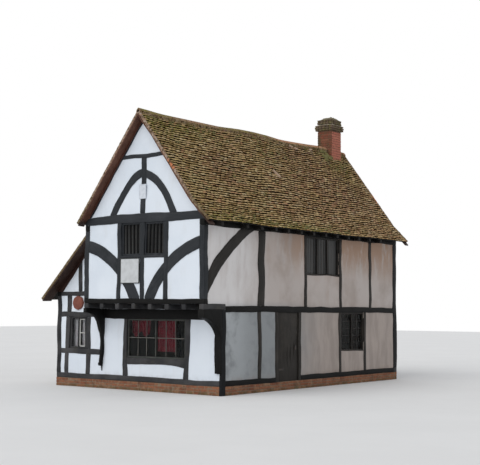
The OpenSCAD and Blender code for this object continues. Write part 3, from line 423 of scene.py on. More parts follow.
def cut_up(bm, step):
    """Cuts a mesh into pieces about step long, along all three axes."""
    for axis in range(3):
        normal = Vector(np.eye(3)[axis])
        values = [v.co[axis] for v in bm.verts]
        low, high = min(values), max(values)
        n = int((high - low) / step)
        for i in range(1, n):
            cut(bm, normal * (low + (high - low) * i / n), normal, dist=1e-5)


def parts_of(bm):
    """Which solid each vertex belongs to, and how many there are."""
    bm.verts.index_update()
    ends = np.array([[v.index for v in e.verts] for e in bm.edges]).T
    label, before = np.arange(len(bm.verts)), None
    while not np.array_equal(label, before):
        before = label.copy()
        lowest = np.minimum(*label[ends])
        for end in ends:
            np.minimum.at(label, end, lowest)
    label = np.unique(label, return_inverse=True)[1]
    return label, label.max() + 1


def hewn(node, mat=timber, step=0.13, along=None, bevel=0.01, rough=0.007, warp=None):
    """A CAD node's solids as hand-hewn timbers with worn arrises and wandering faces. along is the grain's way."""
    bm = bmesh.new()
    bm.from_mesh(NODES[node].data)
    bmesh.ops.remove_doubles(bm, verts=bm.verts, dist=1e-5)
    bmesh.ops.dissolve_limit(bm, angle_limit=radians(1.0), verts=bm.verts, edges=bm.edges)
    sharp = [e for e in bm.edges if e.is_manifold and e.calc_face_angle(0.0) > radians(30)]
    bmesh.ops.bevel(bm, geom=sharp, offset=bevel, offset_type="OFFSET", segments=2, profile=0.55,
                    affect="EDGES", clamp_overlap=True)
    cut_up(bm, step)
    label, count = parts_of(bm)
    points = np.array([v.co[:] for v in bm.verts])
    longest = [np.eye(3)[np.argmax(np.ptp(points[label == k], axis=0))] for k in range(count)]
    tint_of = rng.random(count)
    grain = []
    for v, k in zip(bm.verts, label):
        p = v.co.copy()
        d = along(p) if callable(along) else along or longest[k]
        d = Vector(d).normalized()
        side = d.cross(Vector(UPRIGHT if abs(d.z) < 0.9 else LEVEL)).normalized()
        grain.append((p.dot(d) + 3.1 * k, p.dot(side), p.dot(d.cross(side))))
        move = drift(p) + uneven(p, 0.13, rough) + uneven(p, 0.05, 0.3 * rough, 3.0)
        if warp:
            move += warp(p)
        if p.z < 0.02:
            move.z = 0.0
        v.co = p + move
    mesh = mesh_of(bm, node + "_hewn")
    set_attribute(mesh, "grain", grain)
    set_attribute(mesh, "tint", tint_of[label])
    return add_piece(mesh, node + "_hewn", mat, node, 40)


# Chamfered blocks, for bricks, boards and bars
CORNERS = np.array([[x, y, z] for x in (-1, 1) for y in (-1, 1) for z in (-1, 1)], dtype=float)


def block_faces():
    """Faces, edge strips and corners of a block. Each corner has three vertices, one on each of its faces."""
    def at(c, axis):
        return 3 * (4 * (c[0] > 0) + 2 * (c[1] > 0) + (c[2] > 0)) + axis

    faces = []
    for axis in range(3):
        a, b = (axis + 1) % 3, (axis + 2) % 3
        for s in (-1, 1):
            loop = []
            for u, v in ((-1, -1), (1, -1), (1, 1), (-1, 1)):
                c = [0, 0, 0]
                c[axis], c[a], c[b] = s, u, v
                loop.append(at(c, axis))
            faces.append(loop if s > 0 else loop[::-1])
        for u in (-1, 1):
            for v in (-1, 1):
                low, high = [0, 0, 0], [0, 0, 0]
                low[axis], high[axis] = -1, 1
                for c in (low, high):
                    c[a], c[b] = u, v
                loop = [at(low, a), at(high, a), at(high, b), at(low, b)]
                faces.append(loop if u * v > 0 else loop[::-1])
    for c in CORNERS:
        loop = [at(c, axis) for axis in range(3)]
        faces.append(loop if c.prod() > 0 else loop[::-1])
    return faces


BLOCK = block_faces()


def blocks(name, boxes, mat, cad="", chamfer=0.004, wobble=0.0, turn=0.0, wander=False, slot=None):
    """Boxes (x0, x1, y0, y1, z0, z1) with chamfered edges, each a little different."""
    boxes = np.asarray(boxes, dtype=float)
    low, high = boxes[:, 0::2], boxes[:, 1::2]
    centre, half = (low + high) / 2, (high - low) / 2
    inset = np.minimum(chamfer, half.min(axis=1) * 0.45)[:, None]
    verts = np.zeros((len(boxes), 24, 3))
    for i, c in enumerate(CORNERS):
        for axis in range(3):
            v = c * (half - inset)
            v[:, axis] += c[axis] * inset[:, 0]
            verts[:, 3 * i + axis] = v
    if turn:
        angle = rng.normal(0, turn, (len(boxes), 3))
        for axis in range(3):
            a, b = (axis + 1) % 3, (axis + 2) % 3
            u, v = verts[:, :, a].copy(), verts[:, :, b].copy()
            s = angle[:, axis:axis + 1]
            verts[:, :, a], verts[:, :, b] = u - s * v, v + s * u
    if wobble:
        corner = rng.normal(0, wobble, (len(boxes), 8, 3))
        verts += np.repeat(corner, 3, axis=1)
    verts += centre[:, None, :]
    verts = verts.reshape(-1, 3)
    if wander:
        verts = np.array([Vector(p) + drift(Vector(p)) for p in verts])
    faces = [[f + 24 * k for f in face] for k in range(len(boxes)) for face in BLOCK]
    return array_piece(name, verts, faces, mat, cad, 50, slot, np.repeat(rng.random(len(boxes)), 24), grain=verts)


def lines(low, high, step, keep=()):
    points = sorted({round(v, 5) for v in (low, high, *[k for k in keep if low < k < high])})
    out = []
    for a, b in zip(points, points[1:]):
        n = max(1, int(round((b - a) / step)))
        out += [a + (b - a) * i / n for i in range(n)]
    return out + [points[-1]]


def grid_faces(nx, ny, solid=True):
    """Faces of a grid of points, or of two such grids that close round their rims."""
    top = [[j * nx + i, j * nx + i + 1, (j + 1) * nx + i + 1, (j + 1) * nx + i]
           for j in range(ny - 1) for i in range(nx - 1)]
    if not solid:
        return top
    n = nx * ny
    edge = [*range(nx)] + [j * nx + nx - 1 for j in range(1, ny)]
    edge += [(ny - 1) * nx + i for i in range(nx - 2, -1, -1)] + [j * nx for j in range(ny - 2, 0, -1)]
    return (top + [[n + k for k in face[::-1]] for face in top]
            + [[b, a, n + a, n + b] for a, b in zip(edge, edge[1:] + edge[:1])])


def ring_faces(count, rings, base=0):
    """Quads between rings of count points."""
    return [[base + k * count + i, base + k * count + (i + 1) % count,
             base + (k + 1) * count + (i + 1) % count, base + (k + 1) * count + i]
            for k in range(rings - 1) for i in range(count)]


WALLS = {"front": (1, -1), "rear": (1, 1), "right": (0, 1), "left": (0, -1)}  # the axis each wall faces, and its way


def in_wall(boxes, wall, c):
    """Puts boxes drawn as (u0, u1, depth0, depth1, v0, v1) into the wall whose face is at c."""
    axis, way = WALLS[wall]
    out = []
    for u0, u1, d0, d1, v0, v1 in boxes:
        depth = sorted((c - way * d0, c - way * d1))
        out.append((u0, u1, *depth, v0, v1) if axis else (*depth, u0, u1, v0, v1))
    return out


def skin(name, wall, face, area, cad, holes=(), cuts=()):
    """A sheet of plaster laid into a wall frame. cuts are lines (u, v, nu, nv) whose far side goes away."""
    axis, way = WALLS[wall]
    c = face - way * RECESS
    out = Vector((0, way, 0) if axis else (way, 0, 0))

    def place(u, v):
        return Vector((u, c, v) if axis else (c, u, v))

    u0, u1, v0, v1 = area
    step = 0.11 if u1 - u0 > 8.0 else 0.09
    us = lines(u0, u1, step, [h[i] for h in holes for i in (0, 1)])
    vs = lines(v0, v1, step, [h[i] for h in holes for i in (2, 3)])
    bm = bmesh.new()
    grid = {}
    for i in range(len(us) - 1):
        for j in range(len(vs) - 1):
            mu, mv = (us[i] + us[i + 1]) / 2, (vs[j] + vs[j + 1]) / 2
            if any(h[0] < mu < h[1] and h[2] < mv < h[3] for h in holes):
                continue
            loop = []
            for a, b in ((i, j), (i + 1, j), (i + 1, j + 1), (i, j + 1)):
                if (a, b) not in grid:
                    grid[a, b] = bm.verts.new(place(us[a], vs[b]))
                loop.append(grid[a, b])
            bm.faces.new(loop)
    for u, v, nu, nv in cuts:
        cut(bm, place(u, v), (place(u + nu, v + nv) - place(u, v)).normalized(), clear_outer=True, dist=1e-6)
    bm.normal_update()
    if bm.faces[:][0].normal.dot(out) < 0:
        bmesh.ops.reverse_faces(bm, faces=bm.faces)
    back = bmesh.ops.extrude_face_region(bm, geom=bm.faces[:])
    moved = {v for v in back["geom"] if isinstance(v, bmesh.types.BMVert)}
    front = [v for v in bm.verts if v not in moved]
    for v in moved:
        v.co -= out * 0.035
    bmesh.ops.recalc_face_normals(bm, faces=bm.faces)
    for v in front:
        v.co += out * (noise.noise(v.co * 3.1) * 0.006 + noise.noise(v.co * 11) * 0.0022)
    for v in bm.verts:
        v.co += drift(v.co)
    # The front walls take plaster; the others take its darker copy with painted shade.
    mat, slot = (plaster, "plaster") if wall == "front" else (warm_plaster, "warm_plaster")
    return add_piece(mesh_of(bm, name), name, mat, cad, 50)


# Timber frame

RIDGE_Y = (-0.9, -0.7, -0.1, 1.0, 2.3, 3.1, 3.8, 4.5, 5.1, 5.7, 6.5, 7.2, 8.6)
RIDGE_DROP = (0.0, 0.0, 0.032, 0.022, 0.012, -0.04, -0.055, -0.045, -0.015, -0.03, -0.06, -0.1, -0.06)


def roof_sag(y, height):
    """How far the roof hangs below its straight line, most at the ridge."""
    return np.interp(y, RIDGE_Y, RIDGE_DROP) * np.clip(height, 0.0, 1.0)


def rafter_sag(p):
    return Vector((0, 0, -float(roof_sag(p.y, (p.z - 3.9) / 3.0))))


def down_slope(p):
    return (1, 0, -1.3 if p.x > 0 else 1.3)


def arch_lean(p):
    """The old arch has settled inwards, more on its left."""
    if p.y > 0:
        return Vector((0, 0, 0))
    h = min(1.0, max(0.0, (p.z - TIE_TOP) / 1.0))
    inward = sin(pi * h) ** 0.8
    return Vector((0.08 * inward if p.x < 0 else -0.045 * inward, 0, 0.03 * h))


hewn("front_beam", shaded_timber, 0.16)
hewn("ground_posts", post_timber, along=UPRIGHT)
hewn("front_ground_studs", grey_timber, along=UPRIGHT)
hewn("front_ground_rails", grey_timber, along=LEVEL)
hewn("end_sill_beams", grey_timber, 0.2)
hewn("side_sill_beams", shaded_timber, 0.2)
hewn("jetty_brackets", shaded_timber, 0.09, lambda p: (0, -0.5, 1) if p.z > 1.4 else UPRIGHT, 0.008)
hewn("floor_joists", grey_timber, 0.3, (0, 1, 0), 0.018)
hewn("bressummer", shaded_timber)
hewn("upper_posts", bevel=0.014)
hewn("front_upper_studs", along=lambda p: LEVEL if 3.262 < p.z < 3.328 else UPRIGHT)
hewn("front_braces", timber, 0.11, lambda p: (1.0, 0.0, 0.9 if p.x > 0 else -0.9))
hewn("tie_beams", timber, 0.15, LEVEL)
hewn("collars", along=LEVEL)
hewn("gable_posts")
hewn("arch_braces", timber, 0.09, lambda p: (0.5 if p.x < 0 else -0.5, 0, 1), warp=arch_lean)
hewn("gable_rafters", rafter_timber, 0.2, down_slope, warp=rafter_sag)
hewn("wall_plates", shaded_timber, 0.25)
hewn("girding_beams", shaded_timber, 0.25)
hewn("side_studs", side_timber, 0.16, UPRIGHT)
hewn("side_braces", side_timber, 0.11, (0, 1, 0.9))
hewn("arcade_posts", old_timber, 0.4)
hewn("rear_studs", side_timber, 0.2, UPRIGHT)
for rafters in ("right_rafters", "left_rafters", "outshot_rafters"):
    hewn(rafters, eave_shade_timber, 0.35, down_slope, 0.008, warp=rafter_sag)
hewn("verge_boards", soffit_timber, 0.3, down_slope, 0.004, 0.004)
hewn("side_door", side_timber, 0.3)

# Plaster

gable_line = APEX - (TILE_T + 0.06) / cos(PITCH)
lean_line = OUT_PLATE_Z + 0.148 - 0.05 / cos(OUT_PITCH)
gable_cuts = [(0.0, gable_line, side * sin(PITCH), cos(PITCH)) for side in (1, -1)]
lean_cut = [(OUT_X, lean_line, -sin(OUT_PITCH), cos(OUT_PITCH))]
for name, wall, face, area, cad, holes, cuts in (
    ("front_wall", "front", FRONT, (-1.9, 1.9, FLOOR_Z, 4.2), "front_upper_panels", [(-0.73, 0.73, 3.285, 4.15)], []),
    ("front_gable", "front", FRONT, (-1.9, 1.9, 4.2, 6.8), "gable_panels", [], gable_cuts),
    ("rear_wall", "rear", DEPTH, (-1.9, 1.9, 0.27, 4.2), "rear_panels", [REAR_WINDOW], []),
    ("rear_gable", "rear", DEPTH, (-1.9, 1.9, 4.2, 6.8), "gable_panels", [], gable_cuts),
    ("front_ground", "front", 0.0, (OUT_X + 0.04, 1.91, 0.27, 4.1), "front_ground_panels",
     [(-1.14, 0.865, 0.78, 1.83), (-3.23, -2.5, 0.94, 1.86), (-1.86, 2.0, 2.14, 4.2)], lean_cut),
    ("rear_lean", "rear", DEPTH, (OUT_X + 0.04, -1.9, 0.27, 4.1), "rear_panels", [], lean_cut),
    ("right_lower", "right", HALF, (0.06, 8.3, 0.27, 2.06), "right_panels",
     [(2.26, 3.24, 0.2, 1.99), (*LOWER_WINDOW[:3], 1.985)], []),
    ("right_upper", "right", HALF, (-0.62, 8.3, 2.06, 4.06), "right_panels", [(*SIDE_WINDOW[:3], 4.0)],
     [(-0.62, 2.1, 0.0, -1.0)]),
    ("left", "left", OUT_X, (0.06, 8.33, 0.27, OUT_PLATE_Z + 0.06), "left_panels",
     [(*LEFT_WINDOW[:3], OUT_PLATE_Z + 0.02)], []),
    ("left_cheek", "left", -HALF, (-0.62, 0.05, 2.1, 4.05), "left_panels", [], []),
):
    skin(name + "_plaster", wall, face, area, cad, holes, cuts)


# Roof

class Slope:
    """One roof slope: y along the house, v up from the eave, n out of the tiles' upper face."""

    def __init__(self, side, corners, y0, y1):
        self.side, self.y0, self.y1 = side, y0, y1
        self.corners = np.array(corners)
        runs = np.diff(self.corners, axis=0)
        self.starts = np.concatenate([[0.0], np.cumsum(np.linalg.norm(runs, axis=1))])
        self.length = self.starts[-1]
        self.angles = np.arctan2(runs[:, 1], -runs[:, 0])

    def place(self, y, v, n):
        y, v, n = np.broadcast_arrays(y, v, n)
        wave = 0.006 * (np.sin(1.9 * y + 0.8 * v + 1.0) + np.sin(0.7 * y - 2.3 * v + 2.0) + np.sin(3.3 * y + 1.7 * v))
        fade = np.clip((y - self.y0) / 0.5, 0, 1) * np.clip((self.y1 - y) / 0.5, 0, 1)
        n = n + (wave - 0.006) * fade
        x = np.interp(v, self.starts, self.corners[:, 0])
        z = np.interp(v, self.starts, self.corners[:, 1])
        angle = np.full(v.shape, self.angles[0])
        for start, near, far in zip(self.starts[1:-1], self.angles, self.angles[1:]):
            t = np.clip((v - start + 0.12) / 0.24, 0, 1)
            angle = angle + (far - near) * t * t * (3 - 2 * t)
        p = np.stack([self.side * (x + n * np.sin(angle)), y, z + n * np.cos(angle)], axis=-1)
        p[..., 2] -= roof_sag(y, (p[..., 2] - 4.1) / 2.8)
        return p

    def slab_faces(self, nx, ny):
        faces = grid_faces(nx, ny)
        return [f[::-1] for f in faces] if self.side > 0 else faces


foot_z = KICK_Z - tan(FOOT_PITCH) * (EAVE_X - KICK_X)
lean_eave_z = BREAK_Z - OUT_SLOPE * (OUT_EAVE_X - BREAK_X)
slopes = {
    "right_roof": Slope(1, [(EAVE_X, foot_z), (KICK_X, KICK_Z), (0.0, APEX)], ROOF_Y0, ROOF_Y1),
    "left_roof": Slope(-1, [(BREAK_X, BREAK_Z), (0.0, APEX)], ROOF_Y0, ROOF_Y1),
    "outshot_roof": Slope(-1, [(OUT_EAVE_X, lean_eave_z), (BREAK_X, BREAK_Z)], OUT_Y0, ROOF_Y1),
}

# Places on the right slope, as y, height from eave to ridge, reach in y and height, and strength
MOSSY = ((-0.6, 1.0, 1.6, 0.22, 1.0), (0.9, 0.95, 1.6, 0.14, 0.7), (0.3, 0.0, 2.6, 0.12, 0.9),
         (3.6, 0.0, 1.6, 0.06, 0.8), (4.2, 0.85, 1.2, 0.2, 0.5), (7.6, 0.85, 0.9, 0.25, 0.9),
         (-0.4, 0.5, 1.0, 0.5, 0.35), (2.4, 0.45, 1.2, 0.3, 0.3))
RED = ((1.3, 0.55, 0.9, 0.16, 1.0), (2.8, 0.9, 1.0, 0.12, 0.5), (5.6, 0.8, 1.5, 0.25, 1.0), (3.4, 0.3, 1.4, 0.2, 0.6),
       (6.8, 0.5, 2.2, 0.5, 1.0))


def zones(spots, y, h):
    total = np.zeros(np.shape(y))
    for y0, h0, reach, rise, strength in spots:
        total += strength * np.exp(-((y - y0) / reach) ** 2 - ((h - h0) / rise) ** 2)
    return np.clip(total, 0, 1)


def lay_tiles(node):
    """Rows of clay tiles, each one laid a little differently."""
    s = slopes[node]
    rows = int(s.length / GAUGE)
    spec = []
    for r in range(rows + 1):
        tail = 0.002 + r * (s.length - (0.082 if node == "outshot_roof" else 0.1)) / rows
        y = s.y0 + 0.022
        first = True
        while y < s.y1 - 0.04:
            w = TILE_W * (0.5 if first and r % 2 else 1.0) * rng.uniform(0.94, 1.05)
            first = False
            w = min(w, s.y1 - 0.022 - y)
            spec.append((y + w / 2, tail, w, r))
            y += w
    spec = np.array(spec)
    count = len(spec)
    nx, ny = 5, 3
    per = 2 * nx * ny
    a, b = (grid.ravel() for grid in np.meshgrid(np.linspace(-0.5, 0.5, nx), np.linspace(0, 1, ny)))
    y, tail, w, row = (spec[:, i:i + 1] for i in range(4))
    wave = 0.006 * np.sin(2.6 * y + 0.3 * row) + 0.004 * np.sin(5.9 * y - 0.25 * row + 1.0)
    tail = tail + (wave + rng.normal(0, 0.005, (count, 1))) * (row > 0) + 0.006
    yaw = rng.normal(0.04, 0.05, (count, 1))
    roll = rng.normal(0, 0.035, (count, 1))
    lift = rng.uniform(-0.008, 0.006, (count, 1))
    span = (w - 0.005) * a
    run = TILE_L * b + rng.normal(0, 0.003, (count, len(a))) * (b == 0)
    ys = np.clip(y + span - yaw * run, s.y0 + 0.018, s.y1 - 0.018)
    vs = np.clip(tail + run + yaw * span, 0.003, s.length - 0.004)
    crown = 0.004 * (1 - (2 * a) ** 2) + 0.002 * (1 - (2 * b - 1) ** 2)
    depth = np.minimum(-0.0115 - 0.25 * TILE_L * b + crown + roll * span + lift * (1 - b), -0.002)
    top = s.place(ys, vs, depth)
    bottom = s.place(ys, vs + 0.003 * (b == 0), depth - TILE_THICK)
    verts = np.concatenate([top, bottom], axis=1).reshape(-1, 3)
    faces = [[i + per * k for i in f] for k in range(count) for f in s.slab_faces(nx, ny)]
    tints = np.clip(rng.normal(0.5, 0.32, count), 0, 1)
    height = tail[:, 0] / s.length
    if node == "right_roof":
        moss, red = zones(MOSSY, spec[:, 0], height), zones(RED, spec[:, 0], height)
    else:
        moss = 0.35 + 0.3 * np.sin(0.9 * spec[:, 0] + 5 * height)
        red = 0.3 + 0.3 * np.sin(1.7 * spec[:, 0] - 4 * height)
    # gap: painted shade darkening towards the next tile's tail and on the undersides; a few tiles have less.
    shy = np.where(rng.random((count, 1)) < 0.12, -0.22, rng.normal(0.02, 0.07, (count, 1)))
    gap = np.concatenate([np.clip(run / GAUGE, 0, 2) + shy, np.full(run.shape, 2.0)], axis=1).ravel()
    array_piece(node + "_tiles", verts, faces, roof_tile, node, 30, tint=np.repeat(tints, per),
                moss=np.repeat(moss, per), red=np.repeat(red, per), gap=gap)


def sheet_solid(name, s, ys, vs, top, bottom, mat, cad):
    """A closed slab that follows a roof slope between two depths."""
    y, v = (grid.ravel() for grid in np.meshgrid(ys, vs))
    verts = np.concatenate([s.place(y, v, top), s.place(y, v, bottom)])
    return array_piece(name, verts, s.slab_faces(len(ys), len(vs)), mat, cad)


for node, s in slopes.items():
    lay_tiles(node)
    back = 0.012 if node != "outshot_roof" else 0.0
    sheet_solid(node + "_laths", s, lines(s.y0 + 0.03, s.y1 - 0.03, 0.3), lines(0.03, s.length - back, 0.15),
                -0.053, -0.069, eave_shade_timber, node)
    for k, y in enumerate((s.y0 + 0.002, s.y1 - 0.036)):
        strip = sheet_solid(f"{node}_verge_mortar_{k}", s, [y, y + 0.011, y + 0.023, y + 0.034],
                            lines(0.02, s.length - 0.012, 0.035), -0.004, -0.062, verge_mortar,
                            node + " verge_boards")
        for v in strip.data.vertices:
            v.co += uneven(v.co, 0.05, 0.009) * Vector((1.0, 0.0, 1.0))


def crown(x):
    """Height of the ridge tiles' back above the apex."""
    return 0.026 + 0.022 - np.sqrt((SLOPE * x) ** 2 + 0.022 ** 2)


def bedding(x):
    return crown(x) - 0.006 - 0.8 * max(0.0, abs(x) - 0.07)


def ridge(name, runs, half, top, under, mat, edge_shade=0.0):
    """Lengths of capping along the ridge. Each run is y0, y1, tilt, tint, moss and red."""
    xs = np.linspace(-half, half, 15)
    m = len(xs)
    verts, faces, marks = [], [], []
    side = np.abs(xs) > 0.99 * half
    for y0, y1, tilt, *own in runs:
        base = len(verts)
        for y, line in ((y0, top), (y0, under), (y1, under), (y1, top)):
            sag = float(roof_sag(y, 1.0))
            verts += [(x + tilt * line(x), y, APEX - sag + line(x) + tilt * x) for x in xs]
        for q in range(4):
            for i in range(m - 1):
                a, b = base + q * m + i, base + (q + 1) % 4 * m + i
                faces.append([a, a + 1, b + 1, b])
        for i in (0, m - 1):
            loop = [base + q * m + i for q in range(4)]
            faces.append(loop if i else loop[::-1])
        # Painted shade on the undersides and edges, by edge_shade.
        marks += [own + [edge_shade * (q in (1, 2) or edge)] for q in range(4) for edge in side]
    array_piece(name, verts, faces, mat, "ridge_tiles", 40, None, **dict(zip(("tint", "moss", "red", "gap"),
                                                                             np.array(marks).T)))


pieces, beds = [], []
for y0, y1 in ((ROOF_Y0 + 0.004, STACK[2] - 0.004), (STACK[3] + 0.004, ROOF_Y1 - 0.004)):
    ends = np.linspace(y0, y1, max(1, round((y1 - y0) / 0.31)) + 1)
    for a, b in zip(ends, ends[1:]):
        clay = np.interp(a, (0.0, 0.5, 1.9, 2.3, 4.2, 5.0), (0.05, 0.35, 0.35, 0.08, 0.1, 0.66))
        moss = np.interp(a, (0.0, 0.5, 1.9, 2.3, 4.3, 4.9), (1.0, 0.15, 0.2, 0.6, 0.6, 0.05))
        pieces.append((a + 0.003, b - 0.003, rng.normal(0, 0.02), clay + rng.normal(0, 0.06), moss, 0.0))
    steps = lines(y0 + 0.006, y1 - 0.006, 0.1)
    beds += [(a, b, 0.0, rng.uniform(0.1, 0.9), rng.uniform(0.0, 0.6), float(rng.random() < 0.2))
             for a, b in zip(steps, steps[1:])]
ridge("ridge_tile_row", pieces, 0.062, crown, lambda x: crown(x) - 0.014, ridge_tile)
# The bedding takes painted shade on its underside and edges.
ridge("ridge_bedding", beds, 0.07, bedding, lambda x: -0.05 - SLOPE * abs(x), bedding_tile, 0.6)


def on_right_slope(name, points, faces, mat, sharp):
    """A piece whose points are given as y, v and n on the right slope."""
    s = slopes["right_roof"]
    y, v, n = np.array(points).T
    placed = s.place(np.clip(y, s.y0 + 0.01, s.y1 - 0.01), np.clip(v, 0.01, s.length - 0.01), n)
    array_piece(name, placed, [f[::-1] for f in faces], mat, "right_roof", sharp)


RIGHT_LENGTH = slopes["right_roof"].length
SHARD = ((0, -1), (0.3, -1.15), (0.7, -0.9), (1, -0.6), (1, 0.7), (0.65, 1), (0.25, 0.85), (0, 0.8))
verts, faces = [], []
# Broken tiles as y0, d0, y1, d1 and width; d runs down from the ridge
for y0, d0, y1, d1, width in ((3.6, 1.38, 3.72, 1.64, 0.06), (5.46, 0.13, 5.6, 0.19, 0.04),
                              (5.68, 0.2, 5.8, 0.25, 0.04), (6.5, 0.17, 6.62, 0.16, 0.05)):
    start, along = np.array([y0, RIGHT_LENGTH - d0]), np.array([y1 - y0, d0 - d1])
    across = np.array([-along[1], along[0]]) / np.linalg.norm(along) * width / 2
    base = len(verts)
    for depth in (-0.02, 0.02):
        verts += [(*(start + u * along + w * across), depth + 0.006 * (u - 0.5)) for u, w in SHARD]
    faces += ring_faces(8, 2, base) + [[base + i for i in range(8)][::-1], [base + 8 + i for i in range(8)]]
on_right_slope("broken_tiles", verts, faces, pale_clay, 30)

spots = []
for y0, h0, reach, rise, strength in MOSSY:
    for i in range(int(70 * strength)):
        y, h = rng.normal(y0, reach * 0.6), abs(rng.normal(h0, rise * 0.6))
        if ROOF_Y0 + 0.05 < y < ROOF_Y1 - 0.05 and 0.004 < h < 0.985 and not (7.4 < y < 8.2 and h > 0.88):
            spots.append((y, h * RIGHT_LENGTH, rng.uniform(0.02, 0.055), rng.uniform(0.006, 0.016)))
for i in range(14):
    spots.append((rng.uniform(7.15, 7.6), RIGHT_LENGTH - rng.uniform(0.12, 0.5), 0.1, 0.035))

# Low cushions of moss
verts, faces, sides = [], [], 9
turns = 2 * pi * np.arange(sides) / sides
for y, v, radius, height in spots:
    base = len(verts)
    reach = radius * rng.uniform(0.75, 1.25, sides)
    for grow, lift in ((1.0, -0.03), (0.95, 0.45), (0.55, 0.9)):
        verts += [(y + grow * r * cos(a), v + 0.6 * grow * r * sin(a), -0.012 + height * lift)
                  for r, a in zip(reach, turns)]
    verts.append((y, v, -0.012 + height))
    faces += ring_faces(sides, 3, base)
    faces += [[base + 2 * sides + i, base + 2 * sides + (i + 1) % sides, base + 3 * sides] for i in range(sides)]
    faces.append([base + i for i in range(sides)][::-1])
on_right_slope("roof_moss", verts, faces, green_moss, 60)


# Brickwork

def wall_bricks(wall, c, a0, a1):
    """The plinth's three courses in a wall."""
    boxes = []
    for row in range(3):
        z = row * COURSE
        at = a0 - (0.1125 if row % 2 else 0.0)
        while at < a1 - 0.03:
            long = BRICK if rng.random() < 0.85 else HALF_BRICK
            low, high = max(at, a0), min(at + long, a1)
            if high - low > 0.04:
                boxes.append((low, high, rng.uniform(0.001, 0.005), 0.1, z + JOINT / 2, z + COURSE - JOINT / 2))
            at += long + JOINT
    return in_wall(boxes, wall, c)


plinth = [("front", 0.0, OUT_X, HALF - 0.078), ("right", HALF, FRAME_T, DEPTH - FRAME_T),
          ("left", OUT_X, FRAME_T, DEPTH - FRAME_T), ("rear", DEPTH, OUT_X, HALF)]
courses = [wall_bricks(*run) for run in plinth]
courses[0] += [(OUT_X, OUT_X + 0.1, 0.1, 0.145, row * COURSE + JOINT / 2, (row + 1) * COURSE - JOINT / 2)
               for row in range(3)]
for (wall, c, a0, a1), boxes, (start, end) in zip(plinth, courses, ((0.007, 0.001), (0, 0), (0, 0), (0.007, -0.007))):
    core = in_wall([(a0 + start, a1 + end, 0.007, FRAME_T, 0.0, PLINTH - 0.002)], wall, c)
    blocks(wall + "_plinth_bricks", boxes, brick, wall + "_plinth", 0.006, 0.0016, 0.006)
    blocks(wall + "_plinth_mortar", core, mortar, wall + "_plinth")


def around(over, z0, z1):
    """A box round the stack that stands out by over."""
    x0, x1, y0, y1 = STACK
    return x0 - over, x1 + over, y0 - over, y1 + over, z0, z1


def stack_course(z, z1, along_x):
    """Two long sides of two bricks each, and a brick between them at either end."""
    a0, a1, b0, b1 = STACK if along_x else STACK[2:] + STACK[:2]
    e, m = HALF_BRICK, (a0 + a1) / 2
    flat = []
    for b in ((b0, b0 + e), (b1 - e, b1)):
        flat += [(a0, m - 0.005, *b), (m + 0.005, a1, *b)]
    flat += [(*a, b0 + e + 0.01, b1 - e - 0.01) for a in ((a0, a0 + e), (a1 - e, a1))]
    return [(*(box if along_x else box[2:] + box[:2]), z, z1) for box in flat]


def ring_bricks(over, z, z1):
    """One course of bricks round the stack, standing out by over."""
    a0, a1, b0, b1 = around(over, z, z1)[:4]
    e = 0.11 + over
    out = []
    for p, q, along_x in ((b0, b0 + e, True), (b1 - e, b1, True), (a0, a0 + e, False), (a1 - e, a1, False)):
        ends = np.linspace(a0, a1, 6) if along_x else np.linspace(b0 + e + 0.008, b1 - e - 0.008, 4)
        for u, v in zip(ends + 0.004, ends[1:] - 0.004):
            out.append((u, v, p, q, z, z1) if along_x else (p, q, u, v, z, z1))
    return out


def mound(name, over, z0, height, mat, peak=(0.5, 0.5), flat=3.0):
    """A rough domed bed of mortar or moss on the stack, closed underneath."""
    n = 26
    x0, x1, y0, y1 = around(over, 0, 0)[:4]
    verts = []
    for v in np.linspace(0, 1, n):
        for u in np.linspace(0, 1, n):
            x, y = x0 + (x1 - x0) * u, y0 + (y1 - y0) * v
            near = [c / p if c < p else (1 - c) / (1 - p) for c, p in ((u, peak[0]), (v, peak[1]))]
            rise = (1 - (1 - near[0]) ** flat) * (1 - (1 - near[1]) ** flat)
            lump = noise.noise(Vector((x * 9, y * 9, 1.0))) * 0.5 + noise.noise(Vector((x * 26, y * 26, 2.0))) * 0.25
            verts.append((x, y, z0 + height * max(0.04, min(1.0, rise ** 0.7 * (0.72 + lump)))))
    verts += [(x, y, z0) for x, y, _ in verts]
    array_piece(name, verts, grid_faces(n, n), mat, "chimney_cap", 60)


stack = []
for c in range(22):
    z = SHAFT_Z + c * STACK_COURSE + 0.005
    stack += stack_course(z, z + STACK_COURSE - 0.01, c % 2 == 1)
blocks("chimney_stack_bricks", stack, stack_brick, "chimney_stack", 0.007, 0.002, 0.008)
blocks("chimney_stack_mortar", [around(-0.008, PLINTH, SHAFT_TOP)], red_mortar, "chimney_stack")
cap = ring_bricks(0.058, 7.534, 7.584) + ring_bricks(0.069, 7.59, 7.645) + ring_bricks(0.058, 7.652, CAP_TOP)
blocks("chimney_cap_bricks", cap, cap_brick, "chimney_cap", 0.012, 0.004, 0.016)
blocks("chimney_cap_core", [around(0.03, SHAFT_TOP, CAP_TOP)], dark_mortar, "chimney_cap")
crest = ring_bricks(0.016, 7.735, 7.8) + ring_bricks(0.008, 7.806, CREST_TOP)
blocks("chimney_crest_bricks", crest, cap_brick, "chimney_cap", 0.014, 0.005, 0.02)
blocks("chimney_crest_core", [around(-0.025, CAP_TOP, CREST_TOP)], dark_mortar, "chimney_cap")
mound("chimney_ledge", 0.045, 7.695, 0.045, ledge_mortar, flat=9.0)
mound("chimney_cap_moss", 0.012, 7.862, 0.13, brown_moss, (0.7, 0.35), 1.7)


# Windows, drawn as boxes (u0, u1, depth0, depth1, v0, v1). In the ground floor's front wall these are x, y and z

